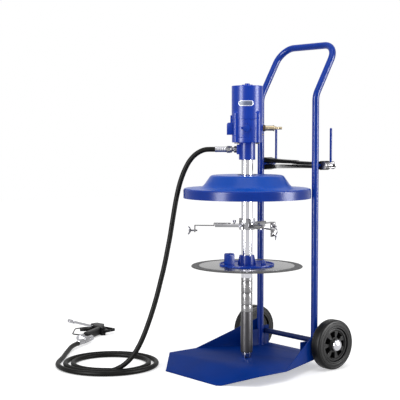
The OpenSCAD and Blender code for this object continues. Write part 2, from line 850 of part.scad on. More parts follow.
// Air motor: lower flange, valve block and cylinder, held together by four tie bolts in ribs
module rib_places() {
    for (i = [0:3]) rotate([0, 0, rib_turn + i * 90]) translate([rib_r, 0, 0]) children();
}
module motor_base() {
    color("royalblue") at_pump(motor_z) difference() {
        union() {
            cylinder(h = motor_base_h - band, d = motor_d - 2 * band);
            cylinder(h = motor_base_h, d = motor_d - 4 * band);
            rib_places() cylinder(h = motor_base_h, d = rib_d);
        }
        translate([0, 0, -cut]) cylinder(h = motor_base_h + 2 * cut, d = rod_d + 2 * play);
        rib_places() translate([0, 0, -cut]) cylinder(h = motor_base_h + 2 * cut, d = tie_bolt_d + 2 * seat);
    }
}
module valve_block() {
    color("royalblue") at_pump(valve_z) difference() {
        union() {
            cylinder(h = valve_h, d = motor_d - 4 * band);
            translate([0, 0, band]) cylinder(h = valve_h - 2 * band, d = motor_d - 2 * band);
            rib_places() translate([0, 0, seat]) cylinder(h = valve_h - 2 * seat, d = rib_d);
            translate([motor_d / 4, -inlet_hex_d / 2, inlet_rise - inlet_hex_d / 2])
                cube([motor_d / 4, inlet_hex_d, inlet_hex_d]);
        }
        translate([0, 0, -cut]) cylinder(h = valve_h + 2 * cut, d = rod_d + 2 * play);
        rib_places() translate([0, 0, -cut]) cylinder(h = valve_h + 2 * cut, d = tie_bolt_d + 2 * seat);
        along_x(motor_d / 4, inlet_rise) cylinder(h = motor_d, d = inlet_bore_d);
    }
}
module air_cylinder() {
    color("royalblue") at_pump(cylinder_z) difference() {
        union() {
            cylinder(h = cylinder_h - motor_chamfer, d = motor_d);
            translate([0, 0, cylinder_h - motor_chamfer])
                cylinder(h = motor_chamfer, d1 = motor_d, d2 = motor_d - 2 * motor_chamfer);
            rib_places() cylinder(h = rib_over, d = rib_d);
            rib_places() translate([0, 0, rib_over]) sphere(d = rib_d);
        }
        translate([0, 0, -cut]) cylinder(h = cylinder_h - cylinder_top_t + cut, d = cylinder_bore_d);
    }
}
module cylinder_plug() {
    color("cornflowerblue") at_pump(motor_top_z) {
        cylinder(h = plug_h, d = plug_d);
        translate([0, 0, plug_h]) cylinder(h = plug_knob_h, d = plug_knob_d);
    }
}
module tie_bolts() {
    color("darkslategray") at_pump(motor_z) rib_places() {
        translate([0, 0, -tie_head_h]) hex(tie_head_h, tie_head_d);
        cylinder(h = motor_base_h + valve_h, d = tie_bolt_d);
    }
}
module cover_ears() {
    for (i = [0:3]) rotate([0, 0, i * 90]) translate([cover_ear_r, 0, 0]) children();
}
module at_cover() {
    at_pump(inlet_z) rotate([90, 0, 0]) children();
}
module valve_cover() {
    color("blue") at_cover() difference() {
        union() {
            cylinder(h = cover_face + cover_t, d = cover_d);
            cover_ears() cylinder(h = cover_face + cover_t / 2, d = cover_ear_d);
        }
        translate([0, 0, -cut]) cylinder(h = cover_face - cover_d / 4 + cut, d = motor_d);
        at_motor_skin();
    }
}
// The motor's round side, taken out of what seats on it
module at_motor_skin() {
    rotate([-90, 0, 0]) translate([0, 0, -valve_h])
        cylinder(h = 2 * valve_h, d = motor_d - 2 * band + 2 * seat);
}
module motor_screws() {
    color("lightsteelblue") at_cover() cover_ears() {
        translate([0, 0, cover_face + cover_t / 2]) cylinder(h = screw_head_h, d = screw_head_d);
    }
    color("wheat") at_pump(valve_z + valve_h / 6) along_x(motor_d / 2 - band + seat)
        cylinder(h = screw_head_h, d = screw_head_d);
}
module exhaust_box() {
    low = inlet_rise - exhaust_drop;
    depth = exhaust_out - motor_d / 4;
    color("mediumblue") at_pump(valve_z) difference() {
        union() {
            translate([-exhaust_out, -exhaust_w / 2, low])
                cube([depth, exhaust_w, exhaust_h - exhaust_round]);
            translate([exhaust_round - exhaust_out, -exhaust_w / 2, low])
                cube([depth - exhaust_round, exhaust_w, exhaust_h]);
            translate([exhaust_round - exhaust_out, exhaust_w / 2, low + exhaust_h - exhaust_round])
                rotate([90, 0, 0]) cylinder(h = exhaust_w, r = exhaust_round);
            translate([-motor_d / 2 - sheet_t, -exhaust_tab_w / 2, low + exhaust_h])
                cube([motor_d / 4, exhaust_tab_w, exhaust_tab_h]);
        }
        translate([0, 0, -cut]) cylinder(h = cut + valve_h, d = motor_d - 2 * band + 2 * seat);
        translate([0, 0, valve_h]) cylinder(h = valve_h, d = motor_d + 2 * seat);
    }
}

// Brass air inlet and its plug nipple, on the motor's right
module air_inlet() {
    start = motor_d / 2 + seat;
    color("goldenrod") at_pump() difference() {
        union() {
            along_x(start, inlet_z) hex(inlet_hex_l, inlet_hex_d);
            along_x(start + inlet_hex_l, inlet_z) cylinder(h = inlet_body_l, d = inlet_body_d);
            along_x(start + inlet_hex_l + inlet_body_l, inlet_z)
                cylinder(h = inlet_collar_l, d = inlet_collar_d);
        }
        along_x(0, inlet_z) cylinder(h = nipple_reach, d = inlet_bore_d);
    }
}
module air_nipple() {
    start = motor_d / 2 + 2 * seat + inlet_hex_l + inlet_body_l + inlet_collar_l;
    tip_l = nipple_reach - start - 2 * nipple_neck_l;
    color("darkgoldenrod") at_pump(inlet_z) difference() {
        union() {
            along_x(start) cylinder(h = nipple_neck_l, d = nipple_back_d);
            along_x(start + nipple_neck_l) cylinder(h = nipple_neck_l, d = nipple_neck_d);
            along_x(start + 2 * nipple_neck_l) cylinder(h = tip_l, d = nipple_d);
        }
        along_x(0) cylinder(h = nipple_reach + cut, d = nipple_bore_d);
    }
}

// Grease outlet: adapter, hose nut and the ferrule pressed on the hose
module outlet_adapter() {
    color("darkslategray") at_pump(outlet_z) difference() {
        union() {
            along_x(-boss_reach - adapter_hex_l) hex(adapter_hex_l, adapter_hex_d);
            along_x(-boss_reach - adapter_hex_l - adapter_neck_l)
                cylinder(h = adapter_neck_l, d = adapter_neck_d);
        }
        along_x(-hose_exit) cylinder(h = hose_exit, d = outlet_bore_d);
    }
}
module hose_nut() {
    color("silver") at_pump(outlet_z) along_x(-boss_reach - adapter_hex_l - adapter_neck_l - nut_l) {
        difference() {
            hex(nut_l, nut_d);
            translate([0, 0, -cut]) cylinder(h = nut_l + 2 * cut, d = outlet_bore_d);
        }
    }
}
module pump_ferrule() {
    color("whitesmoke") at_pump(outlet_z) along_x(-hose_exit) cylinder(h = ferrule_l, d = ferrule_d);
}

// Inside the pump: the air piston, its long rod and the plunger that lifts the grease
module air_piston() {
    color("gainsboro") at_pump(piston_z) difference() {
        pipe(piston_t, cylinder_bore_d - 2 * play, rod_d);
        translate([0, 0, piston_t / 2 - ring_groove / 2])
            pipe(ring_groove, cylinder_bore_d + cut, cylinder_bore_d - 2 * ring_groove);
    }
}
module piston_rod() {
    color("silver") at_pump() {
        translate([0, 0, rod_end_z]) cylinder(h = piston_z + piston_t - rod_end_z, d = rod_d);
        translate([0, 0, rod_end_z]) cylinder(h = primer_h, d = primer_d - 2 * play);
    }
}
module pump_plunger() {
    color("gray") at_pump(plunger_z) pipe(plunger_h, pump_bore_d - 2 * play, rod_d);
}

// Drum lid: a flat shoulder with a down-turned rim and a cone that rises to the tube
module lid_section(off) {
    rim_r = lid_d / 2 - off;
    top = lid_top_z - off;
    shoulder = lid_shoulder_z - off;
    round_r = lid_round - off;
    low = off > 0 ? lid_z - cut : lid_z;
    translate([0, low]) square([rim_r, shoulder - round_r - low]);
    translate([0, low]) square([rim_r - round_r, shoulder - low]);
    translate([rim_r - round_r, shoulder - round_r]) circle(r = round_r);
    polygon([[0, shoulder - cut], [lid_cone_d / 2, shoulder - cut], [lid_cone_d / 2, shoulder],
        [lid_top_d / 2, top], [0, top]]);
}
module drum_lid() {
    color("royalblue") at_pump() difference() {
        rotate_extrude() lid_section(0);
        rotate_extrude() lid_section(lid_t);
        translate([0, 0, lid_shoulder_z]) cylinder(h = lid_cone_h + cut, d = grommet_d);
    }
}
module lid_grommet() {
    color("navy") at_pump(lid_top_z - lid_t) difference() {
        union() {
            cylinder(h = lid_t, d = grommet_d - 2 * seat);
            translate([0, 0, lid_t]) cylinder(h = grommet_lip, d = grommet_d + 2 * grommet_lip);
            translate([0, 0, -grommet_lip]) cylinder(h = grommet_lip, d = grommet_d + 2 * grommet_lip);
        }
        translate([0, 0, -2 * grommet_lip]) cylinder(h = lid_t + 4 * grommet_lip, d = pump_tube_d + 2 * seat);
    }
}

// Centring star: a hub with three flat arms, and an outer strip that slides under each arm
module at_arm(i) {
    at_pump(star_z) rotate([0, 0, arm_turns[i]]) children();
}
// The section of an arm, a channel that is open downwards
module arm_section() {
    side = arm_w / 2;
    polygon([
        [-side, -arm_h], [channel_t - side, -arm_h], [channel_t - side, -channel_t],
        [side - channel_t, -channel_t], [side - channel_t, -arm_h], [side, -arm_h], [side, 0], [-side, 0]
    ]);
}
module star_hub() {
    color("silver") difference() {
        union() {
            at_pump(star_z - star_ring_low) cylinder(h = star_ring_low + star_ring_high, d = star_ring_d);
            for (i = [0:2]) {
                at_arm(i) translate([arm_root_r, 0, 0]) rotate([90, 0, 90])
                    linear_extrude(arm_step_r - arm_end_gap - arm_root_r) arm_section();
                at_arm(i) rotate([0, 0, 60]) translate([arm_root_r, -lug_w / 2, lug_rise - star_ring_low])
                    cube([lug_l, lug_w, lug_h]);
            }
        }
        at_pump(star_z - star_ring_low - cut)
            cylinder(h = star_ring_low + star_ring_high + 2 * cut, d = pump_tube_d + 2 * seat);
    }
}
module star_screws() {
    color("dimgray") for (i = [0:2]) {
        at_arm(i) translate([thumb_r, 0, seat]) {
            cylinder(h = thumb_l, d = thumb_d);
            translate([0, 0, thumb_l - thumb_head_h]) for (k = [0:2]) rotate([0, 0, 60 * k])
                translate([-thumb_head_d / 2, -thumb_d / 6, 0])
                    cube([thumb_head_d, thumb_d / 3, thumb_head_h + k * thumb_blade_step]);
        }
        at_arm(i) rotate([0, 0, 60]) translate([arm_root_r + lug_l, 0, lug_rise + lug_h / 2 - star_ring_low])
            rotate([0, 90, 0]) cylinder(h = thumb_head_h, d = thumb_head_d);
    }
}
// One sliding strip: it lies on its arm, steps down past the arm's end and ends in a bent jaw
module star_arm(i) {
    color("lightgray") at_arm(i) difference() {
        union() {
            translate([strip_in_r, -strip_w / 2, seat])
                cube([arm_step_r - strip_in_r, strip_w, strip_t]);
            translate([arm_step_r - strip_t, -strip_w / 2, -arm_drop])
                cube([strip_t, strip_w, arm_drop + seat + strip_t]);
            translate([arm_step_r - strip_t, -strip_w / 2, -arm_drop])
                cube([jaw_r - arm_step_r + strip_t, strip_w, strip_t]);
            translate([jaw_r - jaw_t, -strip_w / 2, -arm_drop - jaw_h + strip_t])
                cube([jaw_t, strip_w, jaw_h]);
        }
        translate([jaw_r - 2 * jaw_t, 0, -arm_drop - jaw_screw_drop]) rotate([0, 90, 0])
            cylinder(h = 3 * jaw_t, d = jaw_screw_d + 2 * play);
    }
}
module wing_screw(i) {
    color("dimgray") at_arm(i) translate([jaw_r - jaw_screw_l / 2, 0, -arm_drop - jaw_screw_drop]) {
        rotate([0, 90, 0]) cylinder(h = jaw_screw_l, d = jaw_screw_d);
        translate([jaw_screw_l / 2 + seat, 0, 0]) rotate([0, 90, 0]) cylinder(h = wing_h, d = wing_hub_d);
        translate([jaw_screw_l / 2 + seat + wing_h / 4, -wing_span / 2, -wing_t / 2])
            cube([wing_h, wing_span, wing_t]);
    }
}
module star_arm_1() {
    star_arm(0);
}
module star_arm_2() {
    star_arm(1);
}
module star_arm_3() {
    star_arm(2);
}
module wing_screw_1() {
    wing_screw(0);
}
module wing_screw_2() {
    wing_screw(1);
}
module wing_screw_3() {
    wing_screw(2);
}

// Follower: a steel plate with a rubber lip, and a ribbed collar that slides on the tube
module follower_plate() {
    color("silver") at_pump(follower_z - follower_t) pipe(follower_t, follower_d, pump_tube_d + 2 * seat);
}
module follower_lip() {
    under = follower_t + seat + lip_t;
    color("dimgray") at_pump(follower_z - under) difference() {
        union() {
            cylinder(h = lip_t, d = lip_d);
            translate([0, 0, lip_t]) pipe(follower_t + seat, lip_d - 2 * lip_t, follower_d + 2 * seat);
        }
        translate([0, 0, -cut]) cylinder(h = lip_t + 2 * cut, d = follower_d - 2 * lip_lap);
    }
}
module follower_boss() {
    color("royalblue") at_pump(follower_z) difference() {
        union() {
            cylinder(h = boss_t, d = boss_d);
            pipe(boss_t + boss_edge, boss_d, boss_d - 2 * boss_t);
            cylinder(h = boss_t + collar_h, d = collar_d);
            for (i = [0:collar_ribs - 1]) rotate([0, 0, i * 360 / collar_ribs]) collar_rib();
        }
        translate([0, 0, -cut]) cylinder(h = boss_t + collar_h + 2 * cut, d = pump_tube_d + 2 * seat);
    }
}
module collar_rib() {
    root = collar_d / 2 - boss_t;
    translate([0, collar_rib_w / 2, boss_t]) rotate([90, 0, 0]) linear_extrude(collar_rib_w)
        polygon([
            [root, -boss_t / 2], [root + collar_rib_run, -boss_t / 2],
            [root + boss_t, collar_h], [root, collar_h]
        ]);
}
module follower_grips() {
    color("royalblue") at_pump(follower_z + boss_t) {
        rotate([0, 0, grip_places[0][0]]) translate([grip_r, 0, 0]) {
            translate([-grip_t / 2, -grip_w / 2, 0]) cube([grip_t, grip_w, grip_places[0][1] - grip_w / 4]);
            translate([-grip_t / 2, -grip_w / 4, 0]) cube([grip_t, grip_w / 2, grip_places[0][1]]);
            for (s = [-1, 1]) translate([-grip_t / 2, s * grip_w / 4, grip_places[0][1] - grip_w / 4])
                rotate([0, 90, 0]) cylinder(h = grip_t, r = grip_w / 4);
        }
        rotate([0, 0, grip_places[1][0]]) translate([grip_r, 0, 0]) {
            hex(grip_places[1][1] / 2, vent_d);
            translate([0, 0, grip_places[1][1] / 2]) cylinder(h = grip_places[1][1] / 2, d = vent_cap_d);
        }
    }
}

// Hose: down from the pump in a long arc, round the coil on the floor, and on to the gun
module hose_drop() {
    color("black") at_pump() swept(drop_line, [0, 1, 0], hose_d, hose_sides);
}
module hose_coil() {
    color("black") at_pump() swept(coil_line, [0, 0, 1], hose_d, coil_sides);
}
module hose_tail() {
    color("black") at_pump() swept(tail_line, [0, 0, 1], hose_d, hose_sides);
}

// Gun fittings: ferrule and sleeve on the hose, the offset link, and the nut under the grip
module along_y(x, y) {
    translate([x, y, 0]) rotate([-90, 0, 0]) children();
}
module gun_ferrule() {
    sleeve_y = ferrule_end_y + gun_ferrule_l + sleeve_gap;
    color("silver") at_gun() {
        along_y(swivel_in_x, ferrule_end_y) cylinder(h = gun_ferrule_l, d = ferrule_d);
        along_y(swivel_in_x, ferrule_end_y + gun_ferrule_l) hex(sleeve_gap, sleeve_d);
        along_y(swivel_in_x, sleeve_y) cylinder(h = sleeve_l, d = sleeve_d);
        along_y(swivel_in_x, sleeve_y + sleeve_l) cylinder(h = seat + swivel_pin_l, d = swivel_pin_d);
    }
}
module swivel_link() {
    color("gainsboro") at_gun() difference() {
        union() {
            along_y(swivel_in_x, swivel_y - link_h / 2) cylinder(h = link_h, d = link_d);
            along_y(swivel_out_x, swivel_y - link_h / 2) cylinder(h = link_h, d = link_d);
            translate([swivel_out_x, swivel_y, 0]) rotate([0, 90, 0])
                cylinder(h = swivel_in_x - swivel_out_x, d = arm_link_d);
        }
        along_y(swivel_in_x, swivel_y - link_h / 2 - cut)
            cylinder(h = cut + swivel_pin_l + seat, d = swivel_pin_d + 2 * play);
        along_y(swivel_out_x, swivel_y + link_h / 2 - swivel_pin_l - seat)
            cylinder(h = cut + swivel_pin_l + seat, d = swivel_pin_d + 2 * play);
    }
}
module gun_nut() {
    from = swivel_y + link_h / 2 + seat;
    color("silver") at_gun() {
        along_y(swivel_out_x, from - seat - swivel_pin_l) cylinder(h = seat + swivel_pin_l, d = swivel_pin_d);
        along_y(swivel_out_x, from) hex(gun_nut_l, gun_nut_d);
        along_y(swivel_out_x, from + gun_nut_l) cylinder(h = -from - gun_nut_l, d = gun_neck_d);
    }
}

// Gun: a die-cast body with a hanging loop, a grip and a wire guard round the trigger
module gun_grip_outline() {
    translate([-grip_core / 2, -gun_grip_t / 2]) square([grip_core, gun_grip_t]);
    for (s = [-1, 1]) translate([s * grip_core / 2, 0]) intersection() {
        circle(d = gun_grip_t);
        square([grip_wide - grip_core, gun_grip_t], center = true);
    }
}
module gun_body() {
    slim = gun_body_t / 3;
    color("black") at_gun() difference() {
        union() {
            translate([0, 0, -slim / 2]) linear_extrude(slim) difference() {
                polygon(concat(gun_outline_front, gun_outline_loop));
                polygon(loop_outline);
            }
            translate([0, 0, -gun_body_t / 2]) linear_extrude(gun_body_t)
                polygon(concat(gun_outline_front, gun_outline_back));
            along_y(0, 0) linear_extrude(gun_grip_l) gun_grip_outline();
        }
        translate([0, 0, -trigger_slot / 2]) linear_extrude(trigger_slot)
            polygon(slot_outline);
        translate([trigger_at[0], trigger_at[1], -gun_body_t])
            cylinder(h = 2 * gun_body_t, d = trigger_pin_d + 2 * play);
    }
}
// A wire bent in one plane through the given points, with the same inner bend at each
function wire_way(points, i) = points[i + 1] - points[i];
function wire_turn(points, i) =
    let (u = wire_way(points, i - 1), v = wire_way(points, i))
    atan2(u[0] * v[1] - u[1] * v[0], u[0] * v[0] + u[1] * v[1]);
function wire_inset(points, i, r) =
    i == 0 || i == len(points) - 1 ? 0 : r * tan(abs(wire_turn(points, i)) / 2);
module bent_wire(points, r, d) {
    last = len(points) - 1;
    for (i = [0:last - 1]) {
        way = wire_way(points, i);
        from = wire_inset(points, i, r);
        a = atan2(way[1], way[0]);
        translate([points[i][0], points[i][1], 0]) rotate([0, 90, a]) translate([0, 0, from - bend_lap])
            cylinder(
                h = norm(way) - from - wire_inset(points, i + 1, r) + 2 * bend_lap,
                d = d - 2 * bend_step
            );
    }
    for (i = [1:last - 1]) {
        turn = wire_turn(points, i);
        inset = wire_inset(points, i, r);
        before = wire_way(points, i - 1);
        a = atan2(before[1], before[0]);
        s = sign(turn);
        translate([
            points[i][0] - inset * cos(a) - s * r * sin(a),
            points[i][1] - inset * sin(a) + s * r * cos(a), 0
        ])
            rotate([0, 0, a - 90 * s + min(turn, 0)]) rotate_extrude(angle = abs(turn))
                translate([r, 0]) circle(d = d);
    }
}
module hand_guard() {
    color("dimgray") at_gun() bent_wire(guard_points, guard_bend_r, guard_d);
}
module gun_trigger() {
    color("black") at_gun() difference() {
        union() {
            translate([trigger_at[0], trigger_at[1], -trigger_t / 2])
                cylinder(h = trigger_t, d = trigger_head_d);
            translate([0, 0, -trigger_t / 2]) linear_extrude(trigger_t) polygon(trigger_outline);
        }
        translate([trigger_at[0], trigger_at[1], -trigger_t])
            cylinder(h = 2 * trigger_t, d = trigger_pin_d + 2 * play);
    }
}
module trigger_pin() {
    color("silver") at_gun() translate([trigger_at[0], trigger_at[1], -gun_body_t / 2])
        cylinder(h = gun_body_t, d = trigger_pin_d);
}
module at_nozzle(l) {
    at_gun() translate([nozzle_from[0], nozzle_from[1], 0]) rotate([0, 0, 180 - nozzle_rise])
        rotate([0, 90, 0]) translate([0, 0, l]) children();
}
module nozzle_tube() {
    color("whitesmoke") difference() {
        union() {
            at_nozzle(seat) cylinder(h = nozzle_collar_l, d = nozzle_collar_d);
            at_nozzle(nozzle_collar_l) cylinder(h = nozzle_l, d = nozzle_d);
        }
        at_nozzle(-cut) cylinder(h = nozzle_collar_l + nozzle_l + 2 * cut, d = nozzle_bore_d);
    }
}
module grease_coupler() {
    start = nozzle_collar_l + nozzle_l - coupler_deep;
    color("gainsboro") difference() {
        at_nozzle(start) cylinder(h = coupler_l, d = coupler_d);
        at_nozzle(start - cut) cylinder(h = coupler_deep + cut, d = nozzle_d + 2 * seat);
        at_nozzle(start) cylinder(h = coupler_l, d = nozzle_bore_d);
        at_nozzle(start + coupler_l - coupler_deep) cylinder(h = coupler_deep + cut, d = coupler_bore_d);
    }
}

handle_frame();
toe_plate();
axle();
strap_hooks();
lashing_strap();
strap_buckle();
hub_caps();
left_tyre();
left_rim();
left_bush();
right_tyre();
right_rim();
right_bush();
foot_ring();
foot_tube();
grooved_tube();
pump_tube();
pump_neck();
motor_base();
valve_block();
air_cylinder();
cylinder_plug();
tie_bolts();
valve_cover();
motor_screws();
exhaust_box();
air_inlet();
air_nipple();
outlet_adapter();
hose_nut();
pump_ferrule();
air_piston();
piston_rod();
pump_plunger();
drum_lid();
lid_grommet();
star_hub();
star_screws();
star_arm_1();
star_arm_2();
star_arm_3();
wing_screw_1();
wing_screw_2();
wing_screw_3();
follower_plate();
follower_lip();
follower_boss();
follower_grips();
hose_drop();
hose_coil();
hose_tail();
gun_ferrule();
swivel_link();
gun_nut();
gun_body();
hand_guard();
gun_trigger();
trigger_pin();
nozzle_tube();
grease_coupler();
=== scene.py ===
# %% [markdown]
# # A mobile grease unit
# The frame comes first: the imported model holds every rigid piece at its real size. This script
# gives each piece its finish, and replaces the plain ones by surfaces with finer form.

# %% The frame
import json
import math

import bmesh
import bpy
import numpy as np
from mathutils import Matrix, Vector


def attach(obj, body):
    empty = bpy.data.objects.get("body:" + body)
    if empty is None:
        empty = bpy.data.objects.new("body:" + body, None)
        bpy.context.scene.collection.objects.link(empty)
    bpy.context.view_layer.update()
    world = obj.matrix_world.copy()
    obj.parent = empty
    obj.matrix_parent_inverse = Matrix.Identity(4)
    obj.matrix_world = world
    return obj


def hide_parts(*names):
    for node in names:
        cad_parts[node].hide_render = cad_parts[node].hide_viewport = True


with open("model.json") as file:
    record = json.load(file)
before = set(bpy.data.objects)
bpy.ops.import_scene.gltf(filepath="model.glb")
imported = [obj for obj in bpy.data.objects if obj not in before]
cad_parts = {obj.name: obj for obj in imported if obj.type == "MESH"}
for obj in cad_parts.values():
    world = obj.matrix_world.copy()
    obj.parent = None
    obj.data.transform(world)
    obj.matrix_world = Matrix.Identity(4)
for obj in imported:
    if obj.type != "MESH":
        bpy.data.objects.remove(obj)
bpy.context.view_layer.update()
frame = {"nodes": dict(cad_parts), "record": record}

record = frame["record"]
body_of = {node: body for body, nodes in record["behaviour"]["bodies"].items() for node in nodes}

# %% [markdown]
# The camera stands where the picture was taken from: to the front left of the trolley, 3.6 m away,
# with a long lens, looking a few degrees down. A long lens keeps the uprights nearly parallel.

# %% Camera
scene = bpy.context.scene
camera_data = bpy.data.cameras.new("camera")
camera_data.sensor_width = 36.0
camera_data.lens = 93.59
camera_data.clip_start, camera_data.clip_end = 0.1, 60.0
camera = bpy.data.objects.new("camera", camera_data)
scene.collection.objects.link(camera)
camera.location = (2.7883, -2.5245, 0.8419)
looks_at = Vector((0.0014, -0.2493, 0.6196))
camera.rotation_mode = "QUATERNION"
camera.rotation_quaternion = (looks_at - camera.location).to_track_quat("-Z", "Y")
scene.camera = camera
print("camera to target:", round((looks_at - camera.location).length, 3), "m")

# %% [markdown]
# Three places carry nearly everything: the uprights of the trolley, the turned pump and the gun
# on the floor. Each is a turn and a shift of whole arrays of points, in millimetres. The pieces
# of the pump stand on one another, so each height is the one below it and that piece's length.

# %% Places
MM = 0.001
UPRIGHTS_Y = 170.25
PUMP_Y, PUMP_TURN = UPRIGHTS_Y - 200.0, 46.0
GUN_AT, GUN_TURN = (-678.0, 466.0, 17.0), -15.0
AXLE_Y, AXLE_Z, WHEEL_X = UPRIGHTS_Y + 26.0, 90.0, 209.0
DECK_Z = 38.0
FOOT_H, GROOVED_H, PLAIN_H, NECK_H = 149.0, 123.0, 426.0, 62.0
BASE_H, BLOCK_H, CYLINDER_H = 18.0, 65.0, 119.0
FOOT_Z = 58.0
GROOVED_Z = FOOT_Z + FOOT_H
PLAIN_Z = GROOVED_Z + GROOVED_H
NECK_Z = PLAIN_Z + PLAIN_H
BASE_Z = NECK_Z + NECK_H
BLOCK_Z = BASE_Z + BASE_H
CYLINDER_Z = BLOCK_Z + BLOCK_H
OUTLET_Z, INLET_Z = NECK_Z + 37.0, BLOCK_Z + 33.0


def turned_by(points, degrees):
    """Turns points about the vertical: x' = x cos a - y sin a and y' = x sin a + y cos a."""
    a = math.radians(degrees)
    turn = np.array([[math.cos(a), math.sin(a), 0], [-math.sin(a), math.cos(a), 0], [0, 0, 1.0]])
    return np.asarray(points, float) @ turn


def at_pump(points):
    """From the pump's own frame, x to the inlet and -y to the front, into the shared frame."""
    return turned_by(points, PUMP_TURN) + [0, PUMP_Y, 0]


def at_uprights(points):
    """From the frame of the two uprights, y = 0 between them, into the shared frame."""
    return np.asarray(points, float) + [0, UPRIGHTS_Y, 0]


def at_gun(points):
    """From the flat gun's frame, y along its grip, into the shared frame."""
    return at_pump(turned_by(points, GUN_TURN) + GUN_AT)


def at_wheel(side, points):
    """From a wheel's own frame, z along its axis and outwards, into the shared frame."""
    x, y, z = np.moveaxis(points, -1, 0)
    return np.stack([side * (WHEEL_X + z), AXLE_Y + x, AXLE_Z + y], -1)


print("pump axis at y =", PUMP_Y, "mm, motor up to", CYLINDER_Z + CYLINDER_H, "mm")

# %% [markdown]
# Every new piece is a grid of points. Its columns run round the piece. Its rows end in one flat
# face each, or close on themselves round a hollow. Pieces could be modelled by hand instead, but a
# grid keeps each shape a formula that can be read and changed.

# %% Grids
def shell(grid, closed=False):
    """The points and faces of one grid. Its rows close on themselves, or each end gets a face."""
    rows, columns = grid.shape[:2]
    i = np.arange(rows if closed else rows - 1)[:, None]
    j = np.arange(columns)[None, :]
    down, right = (i + 1) % rows, (j + 1) % columns
    squares = [i * columns + j, i * columns + right, down * columns + right, down * columns + j]
    faces = [np.stack(squares, -1).reshape(-1, 4)]
    if not closed:
        faces += [np.arange(columns)[None, ::-1], (rows - 1) * columns + np.arange(columns)[None, :]]
    return grid.reshape(-1, 3), faces


def placed(place, *grids, closed=False):
    """Shells of one or more grids, carried from their own frame by one of the places."""
    return [shell(place(grid), closed) for grid in grids]


def raised(flat, height):
    """Gives each row of a grid of (x, y) its height."""
    return np.concatenate([flat, np.broadcast_to(height, flat.shape[:2] + (1,))], -1)


def joined(shells):
    """Several shells, each a pair of points and faces, as one list of points and faces."""
    points, faces, start = [], [], 0
    for p, fs in shells:
        points.append(p)
        faces += [f + start for f in fs]
        start += len(p)
    return np.concatenate(points), faces


print("grid helpers ready")

# %% [markdown]
# A grid becomes a mesh in one step: the points and the corner numbers of its faces are written as
# whole arrays, which is much faster than one call for each face. All faces are then turned
# outwards. Smooth shading follows, with the edges of more than 35 degrees kept sharp.

# %% From grids to meshes
SHARP = math.radians(35.0)


def outward(mesh):
    """Makes all faces of closed shells point outwards."""
    work = bmesh.new()
    work.from_mesh(mesh)
    bmesh.ops.recalc_face_normals(work, faces=work.faces)
    work.to_mesh(mesh)
    work.free()


def write_mesh(name, points, faces, uv=None):
    """Points in millimetres and face arrays, each with its own number of corners, as a mesh."""
    mesh = bpy.data.meshes.new(name)
    corners = np.concatenate([f.ravel() for f in faces]).astype(np.int32)
    sizes = np.concatenate([np.full(len(f), f.shape[1]) for f in faces])
    mesh.vertices.add(len(points))
    mesh.vertices.foreach_set("co", (np.asarray(points) * MM).astype(np.float32).ravel())
    mesh.loops.add(len(corners))
    mesh.loops.foreach_set("vertex_index", corners)
    mesh.polygons.add(len(sizes))
    mesh.polygons.foreach_set("loop_start", np.concatenate([[0], np.cumsum(sizes)[:-1]]).astype(np.int32))
    mesh.update(calc_edges=True)
    if uv is not None:
        layer = mesh.uv_layers.new(name="UVMap")
        layer.data.foreach_set("uv", np.asarray(uv, np.float32)[corners].ravel())
    outward(mesh)
    mesh.shade_smooth()
    mesh.set_sharp_from_angle(angle=SHARP)
    return mesh


print("mesh helpers ready")

# %% [markdown]
# A piece joins the scene in one call. It rides on the body of the node that it stands for, which is
# read from the imported record by the node's name, and it takes the finish that it is given.

# %% Pieces
MERGE_M, FLAT, EASED_FROM = 1e-5, math.radians(1.0), math.radians(30.0)


def add_piece(name, mesh, finish, node, replaces=()):
    """Puts a mesh into the scene with its finish, on the body of a node, and hides the nodes that it replaces.
    """
    piece = bpy.data.objects.new(name, mesh)
    scene.collection.objects.link(piece)
    mesh.materials.append(finish)
    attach(piece, body_of[node])
    if replaces:
        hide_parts(*replaces)
    return piece


def formed(node, shells, finish, uv=None):
    """A new surface in place of one node."""
    name = node + "_form"
    return add_piece(name, write_mesh(name, *joined(shells), uv), finish, node, [node])


def added(name, shells, finish, node):
    """A fine detail that the node does not have, on the same body."""
    return add_piece(name, write_mesh(name, *joined(shells)), finish, node)


def dressed(node, finish, edge):
    """A copy of a node's mesh with eased edges: doubles are merged, flat triangles become whole
    faces, and a bevel of the given width runs along every edge sharper than 30 degrees."""
    mesh = frame["nodes"][node].data.copy()
    mesh.name = node + "_form"
    work = bmesh.new()
    work.from_mesh(mesh)
    bmesh.ops.remove_doubles(work, verts=work.verts, dist=MERGE_M)
    bmesh.ops.dissolve_limit(work, angle_limit=FLAT, verts=work.verts, edges=work.edges)
    work.to_mesh(mesh)
    work.free()
    mesh.materials.clear()
    mesh.shade_smooth()
    bevel = add_piece(node + "_form", mesh, finish, node, [node]).modifiers.new("edge", "BEVEL")
    bevel.width, bevel.segments = edge * MM, 2
    bevel.limit_method, bevel.angle_limit = "ANGLE", EASED_FROM
    bevel.harden_normals = True


print("bodies:", sorted(set(body_of.values())))

# %% [markdown]
# Most of a machine's pieces are turned: a profile is carried round an axis. A Screw modifier would
# do that too, but a grid stays open to changes, such as a hexagon cut into it. Corners are eased
# first, because a real edge is never sharp and catches a line of light.

# %% Eased corners and the lathe
AXIS = 0.02  # the radius of a closed end: not nothing, so that no face shrinks to a point
ARC_SHARE = 0.45  # the most that one eased corner may take of each side next to it


